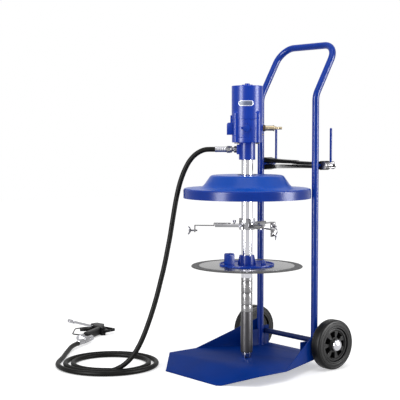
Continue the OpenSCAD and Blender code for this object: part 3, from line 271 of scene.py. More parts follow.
def eased(profile, radius, steps=4):
    """Rounds the inner corners of a run of points: each becomes a quadratic arc between the two
    points that lie one radius before and after it. The radius is one number or one per corner."""
    profile = np.asarray(profile, float)
    radii = np.broadcast_to(radius, len(profile) - 2)
    t = np.linspace(0, 1, steps + 1)[:, None]
    run = [profile[:1]]
    for before, corner, after, r in zip(profile[:-2], profile[1:-1], profile[2:], radii):
        a, b = before - corner, after - corner
        la, lb = np.linalg.norm(a), np.linalg.norm(b)
        reach = min(r, la * ARC_SHARE, lb * ARC_SHARE)
        p, q = corner + a / la * reach, corner + b / lb * reach
        run.append((1 - t) ** 2 * p + 2 * t * (1 - t) * corner + t ** 2 * q)
    run.append(profile[-1:])
    return np.concatenate(run)


def eased_loop(outline, radius):
    """The same for a closed outline: its corners are all inner ones."""
    outline = np.asarray(outline, float)
    return eased(np.concatenate([outline[-1:], outline, outline[:1]]), radius)[1:-1]


def lathe(profile, segments=96):
    """Carries a profile of (radius, height) round the z axis: x = r cos a, y = r sin a, z = h."""
    profile = np.asarray(profile, float)
    a = np.linspace(0, 2 * np.pi, segments, endpoint=False)
    r, h = profile[:, :1], profile[:, 1:]
    return np.stack([r * np.cos(a), r * np.sin(a), h + 0 * a], -1)


def turned(profile, radius, bore=AXIS, segments=96):
    """A lathe of a profile that starts and ends at the bore, or on the axis, with eased corners."""
    return lathe(eased([(bore, profile[0][1]), *profile, (bore, profile[-1][1])], radius), segments)


print("lathe ready")

# %% [markdown]
# Nuts have flats, and thumb screws have fine ridges. Both only change the radius of a turned grid,
# where a boolean cut would leave rough faces at the rims. A fitting that points sideways is turned
# upright like the others, and then laid down.

# %% Flats, ridges and lying pieces
def hexagon(grid, corners, first, last):
    """Cuts a turned grid to a hexagon between two heights: the radius there is the smaller of its
    own and f / cos e. Here f is half the width across corners times cos 30, which is half the
    width across flats, and e is the angle from the middle of a flat."""
    a = np.linspace(0, 2 * np.pi, grid.shape[1], endpoint=False)
    flat = corners / 2 * math.cos(math.pi / 6) / np.cos((a + np.pi / 6) % (np.pi / 3) - np.pi / 6)
    r = np.hypot(grid[..., 0], grid[..., 1])
    inside = (grid[..., 2] >= first) & (grid[..., 2] <= last)
    grid[..., :2] *= np.where(inside, np.minimum(r, flat) / np.maximum(r, 1e-6), 1.0)[..., None]
    return grid


def knurled(grid, teeth, depth, first, last):
    """Presses fine ridges into a turned grid: the radius grows by depth times cos(teeth a)."""
    a = np.arctan2(grid[..., 1], grid[..., 0])
    band = ((grid[..., 2] >= first) & (grid[..., 2] <= last)) * depth * np.cos(teeth * a)
    r = np.maximum(np.hypot(grid[..., 0], grid[..., 1]), 1e-6)
    grid[..., :2] *= ((r + band) / r)[..., None]
    return grid


def along_x(grid, x, z):
    """Lays a shape from the z axis on to the x axis, starting at x and at the height z."""
    return np.stack([grid[..., 2] + x, grid[..., 0], grid[..., 1] + z], -1)


def along_y(grid, x, y):
    """Lays a shape from the z axis on to the y axis."""
    return np.stack([grid[..., 0] + x, grid[..., 2] + y, -grid[..., 1]], -1)


print("flats and ridges ready")

# %% [markdown]
# A hose hangs in one smooth line. A steel rod has straight runs and round bends, because it is bent
# over a former. So there are two ways to a line: one passes through every point, and the other
# rounds each corner. A line kept as an array can be measured as well.

# %% Lines
def flowing(points, spacing):
    """One smooth line through the points. Between two points it is a cubic that leaves and
    arrives with the slope of the line between the neighbours, weighed by their distances."""
    p = np.asarray(points, float)
    gaps = np.linalg.norm(np.diff(p, axis=0), axis=1)
    ways = np.diff(p, axis=0) / gaps[:, None]
    before, after = gaps[:-1, None], gaps[1:, None]
    between = (ways[:-1] * after + ways[1:] * before) / (after + before)
    slopes = np.concatenate([ways[:1], between, ways[-1:]])
    counts = np.maximum(2, np.round(gaps / spacing)).astype(int)
    k = np.repeat(np.arange(len(gaps)), counts)
    t = (np.arange(len(k)) - np.repeat(np.cumsum(counts) - counts, counts)) / counts[k]
    t, g = t[:, None], gaps[k][:, None]
    line = ((2 * t ** 3 - 3 * t ** 2 + 1) * p[k] + (t ** 3 - 2 * t ** 2 + t) * g * slopes[k]
            + (3 * t ** 2 - 2 * t ** 3) * p[k + 1] + (t ** 3 - t ** 2) * g * slopes[k + 1])
    return np.concatenate([line, p[-1:]])


def bent(points, radius, steps=12):
    """A rod bent over a former: each corner becomes a true arc. With u the way in, n square to
    it and w the turn, the arc starts at a, r tan(w/2) before the corner, and runs as
    a + r (u sin f + n (1 - cos f))."""
    p = np.asarray(points, float)
    run = [p[:1]]
    for before, corner, after in zip(p[:-2], p[1:-1], p[2:]):
        u, v = corner - before, after - corner
        u, v = u / np.linalg.norm(u), v / np.linalg.norm(v)
        turn = math.acos(float(u @ v))
        n = v - u * float(u @ v)
        f = np.linspace(0, turn, steps + 1)[:, None]
        start = corner - u * radius * math.tan(turn / 2)
        run.append(start + radius * (u * np.sin(f) + n / np.linalg.norm(n) * (1 - np.cos(f))))
    run.append(p[-1:])
    return np.concatenate(run)


def line_length(line):
    """The sum of the distances from each point to the next."""
    return float(np.linalg.norm(np.diff(line, axis=0), axis=1).sum())


print("lines ready")

# %% [markdown]
# A tube is a round section carried along its line. A plate is an outline with a height, and its
# rims are rounded, as pressing or filing leaves them. A Bevel modifier has to look for such rims by
# their angle, while a grid knows where they are.

# %% Sweep and slab
def sweep(line, radius, sides, side_way=(0, 0, 1.0)):
    """Rings round a line: each point gets two directions square to the line, one of them square
    to side_way too, and the ring is radius times cosine and sine of the angle along them."""
    line = np.asarray(line, float)
    ways = np.diff(line, axis=0)
    ways /= np.linalg.norm(ways, axis=1, keepdims=True)
    along = np.concatenate([ways[:1], ways[:-1] + ways[1:], ways[-1:]])
    along /= np.linalg.norm(along, axis=1, keepdims=True)
    x = np.cross(np.broadcast_to(side_way, line.shape), along)
    x /= np.linalg.norm(x, axis=1, keepdims=True)
    y = np.cross(along, x)
    a = np.linspace(0, 2 * np.pi, sides, endpoint=False)[None, :, None]
    radius = np.broadcast_to(radius, len(line))[:, None, None]
    return line[:, None] + radius * (np.cos(a) * y[:, None] - np.sin(a) * x[:, None])


def slab(outline, low, high, edge):
    """A flat piece with rounded rims: its outline moves in by edge (1 - sin t) while it rises by
    edge (1 - cos t), and the same again, turned over, at the top."""
    outline = np.asarray(outline, float)
    along = np.roll(outline, -1, 0) - np.roll(outline, 1, 0)
    out = np.stack([along[:, 1], -along[:, 0]], -1)
    out /= np.linalg.norm(out, axis=1, keepdims=True)
    x, y = outline.T
    area = np.sum(x * np.roll(y, -1) - y * np.roll(x, -1))
    t = np.linspace(0, np.pi / 2, 4)
    inset, rise = edge * (1 - np.sin(t)), edge * (1 - np.cos(t))
    inset = np.concatenate([inset, inset[::-1]])
    z = np.concatenate([low + rise, high - rise[::-1]])
    return raised(outline[None] - inset[:, None, None] * (out * np.sign(area))[None], z[:, None, None])


print("sweep and slab ready")

# %% [markdown]
# Paint, steel and rubber are all one shader with different numbers. What makes them real is what
# varies over the surface: fine ripples in paint, turning marks on steel, dull patches on rubber.
# Numbers that are the same all over are set on the shader itself, and two noises do the rest.

# %% One shader for all finishes
SMOOTHEST = 0.02
RAMP_FROM, RAMP_TO = 0.3, 0.7


def node_in(tree, kind, **settings):
    """A new node of a shader tree. Each setting names one of its inputs, with _ for a space."""
    node = tree.nodes.new("ShaderNode" + kind)
    for name, value in settings.items():
        node.inputs[name.replace("_", " ")].default_value = value
    return node


def chain(tree, *links):
    """Joins sockets: each link is a node, its output, a node and its input."""
    for start, output, end, entry in links:
        tree.links.new(start.outputs[output], end.inputs[entry])


def finish_of(name, colour, roughness, metallic=0.0, specular=0.5, tone=0.12, tone_scale=9.0, grain=0.02,
              grain_scale=400.0, grain_depth=0.0003, rough_swing=0.06, stretch=(1, 1, 1)):
    """One surface finish. Two scales of noise over Object coordinates vary it: the large one its
    tone and dullness, the small one the height of its skin."""
    material = bpy.data.materials.new(name)
    material.use_nodes = True
    tree = material.node_tree
    shader = tree.nodes["Principled BSDF"]
    shader.inputs["Metallic"].default_value = metallic
    shader.inputs["Specular IOR Level"].default_value = specular
    place, mapping = node_in(tree, "TexCoord"), node_in(tree, "Mapping", Scale=stretch)
    cloudy = node_in(tree, "TexNoise", Scale=tone_scale, Detail=4.0)
    grains = node_in(tree, "TexNoise", Scale=grain_scale, Detail=2.0)
    tones = node_in(tree, "ValToRGB")
    for stop, at, factor in zip(tones.color_ramp.elements, (RAMP_FROM, RAMP_TO), (1 - tone, 1 + tone)):
        stop.position, stop.color = at, (*[min(1, c * factor) for c in colour], 1)
    low, high = max(SMOOTHEST, roughness - rough_swing), roughness + rough_swing
    dull = node_in(tree, "MapRange", To_Min=low, To_Max=high)
    bump = node_in(tree, "Bump", Strength=grain, Distance=grain_depth)
    chain(tree, (place, "Object", mapping, "Vector"), (mapping, "Vector", cloudy, "Vector"),
          (mapping, "Vector", grains, "Vector"), (cloudy, "Fac", tones, "Fac"), (cloudy, "Fac", dull, "Value"),
          (grains, "Fac", bump, "Height"), (tones, "Color", shader, "Base Color"),
          (dull, "Result", shader, "Roughness"), (bump, "Normal", shader, "Normal"))
    return material


print("finish helper ready")

# %% [markdown]
# The blues of the object differ, so each has a finish of its own, and the paints have the fine
# ripples that spraying leaves. Paint seen at a flat angle turns into a mirror of the room. So the
# deck's paint has hardly any reflection, and the lid's flat top is duller. The lid's top is also
# painted a lighter, stronger blue than its rim. That is painted light for the light that falls on it from
# above, since the lid is one sheet with one paint.
# The metals differ in how they were made: polished, turned, plated, blackened or cast.

# %% Finishes
RIPPLE, SKIN = 0.0002, 0.0004  # the depth of the ripples in paint and of the skin on rubber, in metres
blue_paint = finish_of("gloss_blue_paint", (0.0003, 0.037, 0.34), 0.26, specular=0.14, tone=0.06,
                       grain=0.2, grain_scale=300, grain_depth=RIPPLE)
# painted light: the lid's top gets a lighter blue than its rim for the light that falls on it from above, and
# it is also duller
lid_top_painted_lighter = finish_of("lid_top_paint", (0.002, 0.072, 0.45), 0.31, specular=0.15, tone=0.06,
                        grain=0.3, grain_scale=300, grain_depth=RIPPLE)
deck_paint = finish_of("satin_deck_paint", (0.0003, 0.034, 0.26), 0.46, specular=0.025, tone=0.1,
                       grain=0.45, grain_scale=650, grain_depth=RIPPLE)
motor_paint = finish_of("motor_enamel", (0.0003, 0.046, 0.47), 0.3, specular=0.18, tone=0.05,
                        grain=0.25, grain_scale=350, grain_depth=RIPPLE)
navy_paint = finish_of("navy_paint", (0.001, 0.018, 0.13), 0.35, specular=0.2)
blue_plastic = finish_of("blue_plastic", (0.0003, 0.048, 0.45), 0.34, specular=0.14, grain=0.3,
                         grain_scale=900)
polished_steel = finish_of("polished_steel", (0.5, 0.5, 0.53), 0.12, 1.0, tone=0.05, rough_swing=0.02,
                           grain=0.0)
turned_steel = finish_of("turned_steel", (0.24, 0.24, 0.25), 0.2, 1.0, grain=0.25, grain_scale=700)
zinc = finish_of("zinc_plate", (0.15, 0.148, 0.152), 0.26, 1.0, tone=0.14, tone_scale=20, grain=0.1,
                 grain_scale=500)
dark_steel = finish_of("blackened_steel", (0.05, 0.048, 0.052), 0.4, 0.5, specular=0.3, tone=0.15,
                       grain=0.3, grain_scale=700)
groove_steel = finish_of("fine_turned_steel", (0.17, 0.168, 0.172), 0.25, 1.0, tone=0.1, tone_scale=30,
                         grain=0.25, grain_scale=600, stretch=(0.3, 0.3, 4))
screw_steel = finish_of("screw_steel", (0.13, 0.13, 0.145), 0.3, 1.0, tone=0.3, tone_scale=90, grain=0.3,
                        grain_scale=700)
pale_metal = finish_of("pale_aluminium", (0.34, 0.34, 0.36), 0.22, 0.95, tone=0.06, grain=0.2,
                       grain_scale=800)
brass = finish_of("brass", (0.315, 0.26, 0.172), 0.26, 1.0, tone_scale=60, grain=0.2, grain_scale=900)
dark_brass = finish_of("darkened_brass", (0.1, 0.07, 0.05), 0.35, 0.9, tone=0.3, tone_scale=60, grain=0.2)
hose_rubber = finish_of("hose_rubber", (0.008, 0.008, 0.0072), 0.45, specular=0.065, tone=0.3,
                        tone_scale=30, grain=0.5, grain_scale=900, grain_depth=SKIN)
tyre_rubber = finish_of("tyre_rubber", (0.007, 0.007, 0.0075), 0.42, specular=0.13, tone=0.25,
                        tone_scale=25, grain=0.5, grain_scale=800, grain_depth=SKIN)
lip_rubber = finish_of("lip_rubber", (0.1, 0.098, 0.095), 0.55, specular=0.25, grain=0.3)
black_plastic = finish_of("black_plastic", (0.008, 0.008, 0.009), 0.34, specular=0.16, tone=0.2, grain=0.3,
                          grain_scale=900)
black_casting = finish_of("black_casting", (0.004, 0.004, 0.005), 0.36, specular=0.08, tone=0.2,
                          grain=0.8, grain_scale=1100, grain_depth=SKIN)
print("finishes:", len(bpy.data.materials))

# %% [markdown]
# The hose is the piece to settle first. It leaves the pump's fitting level, comes down in one arc
# of rubber and steel wire, lies in a coil of two and a quarter turns, and runs on to the gun.
# A curve object would do, but a swept grid lets the same numbers give its length and its bends.

# %% Route of the hose
HOSE_D = 18.0
BOSS_X, ADAPTER_L, NUT_L, FERRULE_L = 37.0, 17.0, 20.0, 41.0  # the row of fittings at the pump
HOSE_EXIT = BOSS_X + ADAPTER_L + NUT_L + FERRULE_L
LINK_X, LINK_Y, SLEEVE_L, HEX_L, CRIMP_L = 38.0, -59.25, 48.0, 6.0, 46.0  # the row at the gun
GUN_FERRULE_Y = LINK_Y - SLEEVE_L - HEX_L - CRIMP_L
COIL_AT, COIL_R, COIL_PITCH, COIL_TURNS = (-505.0, 0.0), 125.0, 28.0, 2.25
drop_route = [
    [-150, 0, 792], [-184, 0, 776], [-206, -1, 753], [-221, -2, 727], [-234, -4, 696], [-244, -6, 664],
    [-252, -9, 629], [-259, -12, 592], [-265, -15, 554], [-271, -19, 515], [-277, -23, 476],
    [-284, -28, 437], [-291, -34, 398], [-299, -40, 359], [-308, -48, 320], [-317, -56, 281],
    [-327, -65, 242], [-338, -75, 204], [-350, -85, 167], [-363, -94, 131], [-378, -102, 97],
    [-396, -109, 66], [-418, -115, 40], [-445, -120.5, 20], [-476, -125, 9]]
tail_route = [
    [-693, 50, 9], [-694, 90, 9], [-696, 130, 10], [-697, 168, 11], [-697, 206, 13], [-695, 240, 16]]


def coil_line(t):
    """A flat spiral, clockwise from the front: the radius grows by one pitch a turn."""
    a, r = np.radians(-90 - 360 * t), COIL_R + COIL_PITCH * t
    return np.stack([COIL_AT[0] + r * np.cos(a), COIL_AT[1] + r * np.sin(a), 0 * t + HOSE_D / 2], -1)


coil = coil_line(np.linspace(0, COIL_TURNS, round(COIL_TURNS * 24) + 1))
gun_end = turned_by([[LINK_X, GUN_FERRULE_Y - HOSE_D, 0], [LINK_X, GUN_FERRULE_Y, 0]], GUN_TURN) + GUN_AT
hose_route = np.concatenate([
    [[-HOSE_EXIT, 0, OUTLET_Z], [-HOSE_EXIT - HOSE_D, 0, OUTLET_Z]], drop_route,
    [coil[0] + [HOSE_D, 0, 0]], coil, [coil[-1] + [0, HOSE_D, 0]], tail_route, gun_end])
print("points of the route:", len(hose_route))

# %% [markdown]
# A sweep needs one steady direction that its line never follows. The hanging part takes a level
# one, the lying part takes the upright one, and just above the floor the two are blended.

# %% Hose
HOSE_STEP, LIES_BELOW, BLEND_H = 6.0, 30.0, 10.0
hose_line = flowing(hose_route, HOSE_STEP)
hose_line[:, 2] = np.maximum(hose_line[:, 2], HOSE_D / 2)
lying = np.clip((LIES_BELOW - hose_line[:, 2:]) / BLEND_H, 0, 1)
side_ways = (1 - lying) * [0, 1.0, 0] + lying * [0, 0, 1.0]
hose_mesh = write_mesh("grease_hose", *shell(at_pump(sweep(hose_line, HOSE_D / 2, 24, side_ways))))
hose = add_piece("grease_hose", hose_mesh, hose_rubber, "hose_drop", ["hose_drop", "hose_coil", "hose_tail"])

# %% [markdown]
# The handle frame is one tube bent over a former, so it is a sweep along a line with true arcs.
# Its feet carry a weld: a ring whose section swells and sinks a little with every drop of metal.

# %% Handle frame
TUBE_R, FRAME_X = 12.5, 145.0
BOTH_SIDES = ([-FRAME_X, 0, 0], [FRAME_X, 0, 0])
STRETCH = 25.0  # about how far apart the rings of the frame's tube stand


def weld(radius, bead, drops):
    """A bead round a tube: a ring of small circles whose size is bead (1 + 0.14 cos(drops a)),
    pressed flat to 0.55 of their height."""
    a = np.linspace(0, 2 * np.pi, 120, endpoint=False)[:, None]
    b = np.linspace(0, 2 * np.pi, 10, endpoint=False)[None, :]
    q = bead * (1 + 0.14 * np.cos(drops * a))
    r = radius + q * np.cos(b)
    return np.stack([r * np.cos(a), r * np.sin(a), 0.55 * q * np.sin(b)], -1)


foot, knee, corner = [FRAME_X, 0, DECK_Z], [FRAME_X, 0, 986], [FRAME_X, 110, 1175]
half = np.concatenate([bent([foot, knee, corner], 70)[:-1],
                       bent([knee, corner, [-FRAME_X, 110, 1175]], 65, 20)[1:-1]])
way = np.concatenate([half, half[::-1] * [-1, 1, 1]])
stretches = [np.linspace(a, b, max(2, int(np.linalg.norm(b - a) / STRETCH)), endpoint=False)
             for a, b in zip(way[:-1], way[1:])]
way = np.concatenate([*stretches, way[-1:]])
bead = weld(TUBE_R + 0.8, 2.4, 22) + [0, 0, DECK_Z + 0.8]
formed("handle_frame", placed(at_uprights, sweep(way, TUBE_R, 48, (0, 0.3, -0.02)))
       + placed(at_uprights, *[bead + side for side in BOTH_SIDES], closed=True), blue_paint)
print("frame tube:", round(line_length(way)), "mm")

# %% [markdown]
# The hooks behind the uprights are bent rods with rounded tips. A tip is a run of rings whose
# radius follows a quarter circle, so no ball has to be joined to the rod.

# %% Hooks
HOOK_R, HOOK_BEND, HOOK_Z = 4.5, 14.0, 735.0


def rod(points, radius, bend):
    """A bent rod with a rounded far end: there the radius is r cos t while the line runs on r sin t."""
    line = bent(points, bend)
    t = np.linspace(0, np.pi / 2, 6)[1:, None]
    way = line[-1] - line[-2]
    way /= np.linalg.norm(way)
    line = np.concatenate([line, line[-1] + way * radius * np.sin(t)])
    tip = radius * np.maximum(np.cos(t[:, 0]), 0.02)
    radii = np.concatenate([np.full(len(line) - len(t), radius), tip])
    return sweep(line, radii, 20, (1.0, 0, 0))


hook = rod([[0, 11, HOOK_Z], [0, 80, HOOK_Z], [0, 80, 866]], HOOK_R, HOOK_BEND)
bead = weld(HOOK_R + 0.4, 1.4, 12)[..., [0, 2, 1]] + [0, 13.4, HOOK_Z]
formed("strap_hooks", placed(at_uprights, *[hook + side for side in BOTH_SIDES])
       + placed(at_uprights, *[bead + side for side in BOTH_SIDES], closed=True), blue_paint)
print("hooks at", HOOK_Z, "mm")

# %% [markdown]
# The toe plate is folded sheet, so only its folds and cut edges need easing. A bevel on a copy of
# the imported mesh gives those, and keeps every fold where the source has it.

# %% Toe plate
dressed("toe_plate", deck_paint, 0.9)
print("toe plate dressed")

# %% [markdown]
# The air motor is a casting in three pieces: a flange, a valve block and a cylinder, with a rib
# for each of its four long bolts. Its skin is one function of height and angle: the larger of a
# round wall and four rounded ribs, blended so that they flow into each other as in a mould.

# %% Motor housing
RIB_AT, RIB_R, RIB_TOP, BLEND = 53.0, 11.0, 18.0, 0.6
MOTOR_R, SKIRT_R = 56.0, 54.8


def housing(profile, radius, rib_top=math.inf):
    """A rib of radius q, d from the axis, reaches d cos e + sqrt(q^2 - d^2 sin^2 e) at the angle e
    from its middle. The skin is the larger of that and the wall, plus h^2 / 4k where the two are
    closer than k. Above its top a rib shrinks like a ball, and every row moves in by its inset."""
    inset, z = np.asarray(profile, float).T
    a = np.linspace(0, 2 * np.pi, 480, endpoint=False)[None, :]
    e = a % (np.pi / 2) - np.pi / 4
    q = np.sqrt(np.maximum(0, RIB_R ** 2 - np.maximum(0, z - rib_top) ** 2))[:, None]
    under = q ** 2 - (RIB_AT * np.sin(e)) ** 2
    reach = np.where(under > 0, RIB_AT * np.cos(e) + np.sqrt(np.maximum(under, 0)), 0)
    h = np.maximum(BLEND - np.abs(reach - radius), 0)
    r = np.maximum(reach, radius) + h ** 2 / (4 * BLEND) - inset[:, None]
    return np.stack([r * np.cos(a), r * np.sin(a), z[:, None] + 0 * a], -1)


def motor_rows(height, low_edge, high_edge, wall=()):
    """Rows of (inset, height): flat, an eased edge, the wall at the given heights, an eased edge, flat."""
    rows = eased([(9, 0), (0, 0), (0, height), (9, height)], [low_edge, high_edge])
    return np.concatenate([rows[:6], np.stack([np.zeros(len(wall)), wall], -1), rows[6:]])


def rectangle(width, height, radius):
    """A rectangle round the origin with eased corners."""
    x, y = width / 2, height / 2
    return eased_loop([(-x, -y), (x, -y), (x, y), (-x, y)], radius)


rib_ball = RIB_TOP + RIB_R * np.sin(np.linspace(0, np.pi / 2, 20))
flange = housing(motor_rows(BASE_H, 1.4, 1.0), SKIRT_R)
block = housing(motor_rows(BLOCK_H, 1.0, 1.0), SKIRT_R)
cylinder = housing(motor_rows(CYLINDER_H, 1.0, 3.0, [6, 12, *rib_ball, 40, 90]), MOTOR_R, RIB_TOP)
pad = along_x(slab(rectangle(23, 23, 2.5), 0, 16, 0.8), 40, INLET_Z)
formed("motor_base", placed(at_pump, flange + [0, 0, BASE_Z]), motor_paint)
formed("air_cylinder", placed(at_pump, cylinder + [0, 0, CYLINDER_Z]), motor_paint)
formed("valve_block", placed(at_pump, block + [0, 0, BLOCK_Z], pad), motor_paint)
print("motor of", BASE_H + BLOCK_H + CYLINDER_H, "mm")

# %% [markdown]
# On top sits a plug with a raised boss, and the front carries a small bare plate: a pale rim round
# a field of enamel. Rim and field are made flat and then wrapped on the motor's wall by the angle
# x / r, which keeps their thickness the same all over.

# %% Plug and badge
BADGE_W, BADGE_H, BADGE_Z, BADGE_TURN = 56.0, 19.5, 956.5, -3.0
plug = turned([(20, -0.5), (20, 4), (9, 4), (9, 8.5)], [0.1, 1.2, 0.6, 1.2])
formed("cylinder_plug", placed(at_pump, plug + [0, 0, CYLINDER_Z + CYLINDER_H]), motor_paint)


def pill(smaller):
    """The badge's outline, smaller by this much: straight sides and half-round ends."""
    width, height = BADGE_W - smaller, BADGE_H - smaller
    t = np.linspace(-np.pi / 2, np.pi / 2, 16)
    x, r = width / 2 - height / 2, height / 2
    right = np.stack([x + r * np.cos(t), r * np.sin(t)], -1)
    side = np.stack([np.linspace(x, -x, 24)[1:-1], np.full(22, r)], -1)
    return np.concatenate([right, side, -right, -side])


def on_motor(grid):
    """Wraps a flat piece on the front of the motor: x becomes an angle, and its height a radius."""
    a = grid[..., 0] / MOTOR_R - np.pi / 2 + math.radians(BADGE_TURN)
    r = MOTOR_R + grid[..., 2]
    return np.stack([r * np.cos(a), r * np.sin(a), BADGE_Z + grid[..., 1]], -1)


def rim(outer, inner, height):
    """A flat ring between two outlines: with s from 0 at the outer to 1 at the inner one, its top
    is height times sqrt(sin(pi s))."""
    s = np.linspace(0, 1, 9)[:, None, None]
    across = outer[None] * (1 - s) + inner[None] * s
    top = height * np.sqrt(np.sin(np.pi * np.clip(s, 0.02, 0.98)))
    return np.concatenate([raised(across, top), raised(across[::-1], -0.4)])


shares = np.concatenate([np.linspace(0.04, 1, 12), np.linspace(1, 0.04, 12)])[:, None, None]
field = raised(shares * pill(5), np.repeat([-0.5, 0.5], 12)[:, None, None])
badge_blue = finish_of("badge_enamel", (0.13, 0.16, 0.25), 0.35, specular=0.3, tone=0.3, tone_scale=40)
badge_silver = finish_of("badge_silver", (0.55, 0.57, 0.66), 0.4, 0.4, specular=0.3, grain=0.1)
pale_rim = on_motor(rim(pill(0), pill(6), 1.1))
added("badge_rim", placed(at_pump, pale_rim, closed=True), badge_silver, "air_cylinder")
added("badge_field", placed(at_pump, on_motor(field)), badge_blue, "air_cylinder")
print("badge of", BADGE_W, "x", BADGE_H, "mm")

# %% [markdown]
# The lobed cover over the pilot valve and the exhaust box keep their packed form with eased edges.
# Four small screws hold the cover. A screw head is a lathe with a flat top and a sunk socket.

# %% Cover, exhaust box and screws
EAR_R, EAR_FACE = 16.0, 57.5
dressed("valve_cover", blue_plastic, 0.9)
dressed("exhaust_box", blue_plastic, 2.0)


def screw_head(radius, height):
    """A round head: a straight side, an eased rim, and a socket sunk by half the height."""
    return turned([(radius, -0.3), (radius, height), (radius * 0.5, height), (radius * 0.45, height * 0.5)],
                  0.5, segments=32)


def on_cover(grid, turn):
    """From the cover's frame, z out of the motor's front, on one of the cover's four ears."""
    a = math.radians(turn)
    return np.stack([grid[..., 0] + EAR_R * math.cos(a), -grid[..., 2],
                     INLET_Z + grid[..., 1] + EAR_R * math.sin(a)], -1)


head = screw_head(3.25, 2.5) + [0, 0, EAR_FACE]
formed("motor_screws", placed(at_pump, *[on_cover(head, turn) for turn in (0, 90, 180, 270)]), motor_paint)
drain = along_x(screw_head(3.4, 2.6), 55, BLOCK_Z + 11)
added("drain_screw", placed(at_pump, drain), brass, "motor_screws")
print("screws: 5")

# %% [markdown]
# The neck is a turned ring with a square boss for the outlet. The outlet's fittings are turned: an
# adapter with a hexagon, the hose nut, and a ferrule that was crimped on the hose in a die. They
# are laid in a row from the boss outwards, and each one starts where the last one ends.

# %% Neck and outlet fittings
BORE, CRIMPS, CRIMP_DEPTH, FERRULE_R = 17.0, 4, 0.55, 10.25
neck = turned([(29.5, 0), (29.5, NECK_H)], [1.6, 0.8], BORE, 128)
boss = along_x(slab(rectangle(32, 35, 3.0), 0, 17, 1.4), -BOSS_X, OUTLET_Z)
formed("pump_neck", placed(at_pump, neck + [0, 0, NECK_Z], closed=True) + placed(at_pump, boss), motor_paint)


def crimped(length):
    """A ferrule: a plain radius with a shallow cosine dip for each ring of the die, from 0.12 to
    0.88 of its length."""
    h = np.linspace(0, length, 60)
    s = np.clip((h / length - 0.12) / 0.76, 0, 1)
    r = FERRULE_R - CRIMP_DEPTH * (0.5 - 0.5 * np.cos(2 * np.pi * CRIMPS * s))
    ends = [[(AXIS, z), (FERRULE_R - 1.2, z)] for z in (0, length)]
    return lathe(np.concatenate([ends[0], np.stack([r, np.clip(h, 0.5, length - 0.5)], -1), ends[1][::-1]]))


adapter = turned([(7.5, 0), (7.5, 7), (10.5, 7), (12, 8.4), (12, 15.6), (10.6, ADAPTER_L)], 0.3)
nut = turned([(9.5, 0), (12.5, 1.6), (12.5, 14), (11.6, 15), (11.6, 16.2), (12.4, 17), (12.5, 18.6),
              (10.8, NUT_L)], 0.3)
outlet_row = [("outlet_adapter", hexagon(adapter, 24, 7.2, 16.8), ADAPTER_L, screw_steel),
              ("hose_nut", hexagon(nut, 25, 1.5, 14.0), NUT_L, turned_steel),
              ("pump_ferrule", crimped(FERRULE_L), FERRULE_L, pale_metal)]
x = -BOSS_X
for node, grid, length, finish in outlet_row:
    x -= length
    formed(node, placed(at_pump, along_x(grid, x, OUTLET_Z)), finish)
print("fittings reach x =", x, "mm")

# %% [markdown]
# Air comes in through brass: a hexagon, a long body, a collar and the plug nipple that the air
# line's coupling snaps over. The nipple's waist is where the coupling's balls lock. Each is turned
# by itself, because they are separate pieces, and the hexagon's brass is darker.

# %% Air inlet
INLET_X, NIPPLE_X = 56.25, 97.5
base = hexagon(turned([(10, 0), (11.5, 1), (11.5, 8), (10.4, 9)], 0.3), 23, 0, 9)
inlet = turned([(9.25, 8.5), (9.25, 17), (8.9, 17.7), (9.25, 18.4), (9.25, 36), (10.5, 36), (10.5, 41)],
               [.2, .3, .3, .3, .2, .2, .6])
nipple = turned([(6.3, 0), (6.3, 7), (4.25, 7.6), (4.25, 13), (5, 14.4), (5, 25.5), (4.4, 27.2), (2.5, 27.2),
                 (2.5, 6)], [.2, .8, .5, .6, .5, .5, .8, .2, .2])
formed("air_inlet", placed(at_pump, along_x(inlet, INLET_X, INLET_Z)), brass)
added("inlet_base", placed(at_pump, along_x(base, INLET_X, INLET_Z)), dark_brass, "air_inlet")
formed("air_nipple", placed(at_pump, along_x(nipple, NIPPLE_X, INLET_Z)), brass)
print("nipple's tip at x =", NIPPLE_X + 27.2, "mm")

# %% [markdown]
# Below the motor the pump is one long tube in three turned pieces: a plain chromed tube, a grooved
# one over the pump's valves, and a dark foot tube, with a slotted ring at the bottom. The tubes are
# turned hollow, because the rod and the plunger move inside them.

# %% Pump tube
PUMP_R, FOOT_BORE = 20.8, 16.0
groove = np.array([(0, -2), (-1.2, -1.2), (-1.2, 1.2), (0, 2)])
grooves = np.concatenate([groove + [PUMP_R, share * GROOVED_H] for share in (0.2, 0.56, 0.9)])
grooved = turned([(PUMP_R, 0), *grooves, (PUMP_R, GROOVED_H)], 0.5, BORE, 128)
plain = turned([(PUMP_R, 0), (PUMP_R, PLAIN_H)], 0.5, BORE, 128)
foot = turned([(20, 0), (22, 3), (22, 30), (20.7, FOOT_H)], [0.3, 1.5, 6, 0.4], FOOT_BORE, 128)
for node, grid, z, finish in (("grooved_tube", grooved, GROOVED_Z, groove_steel),
                              ("pump_tube", plain, PLAIN_Z, polished_steel),
                              ("foot_tube", foot, FOOT_Z, dark_steel)):
    formed(node, placed(at_pump, grid + [0, 0, z], closed=True), finish)
dressed("foot_ring", polished_steel, 0.5)
print("tube from", FOOT_Z, "to", NECK_Z, "mm")
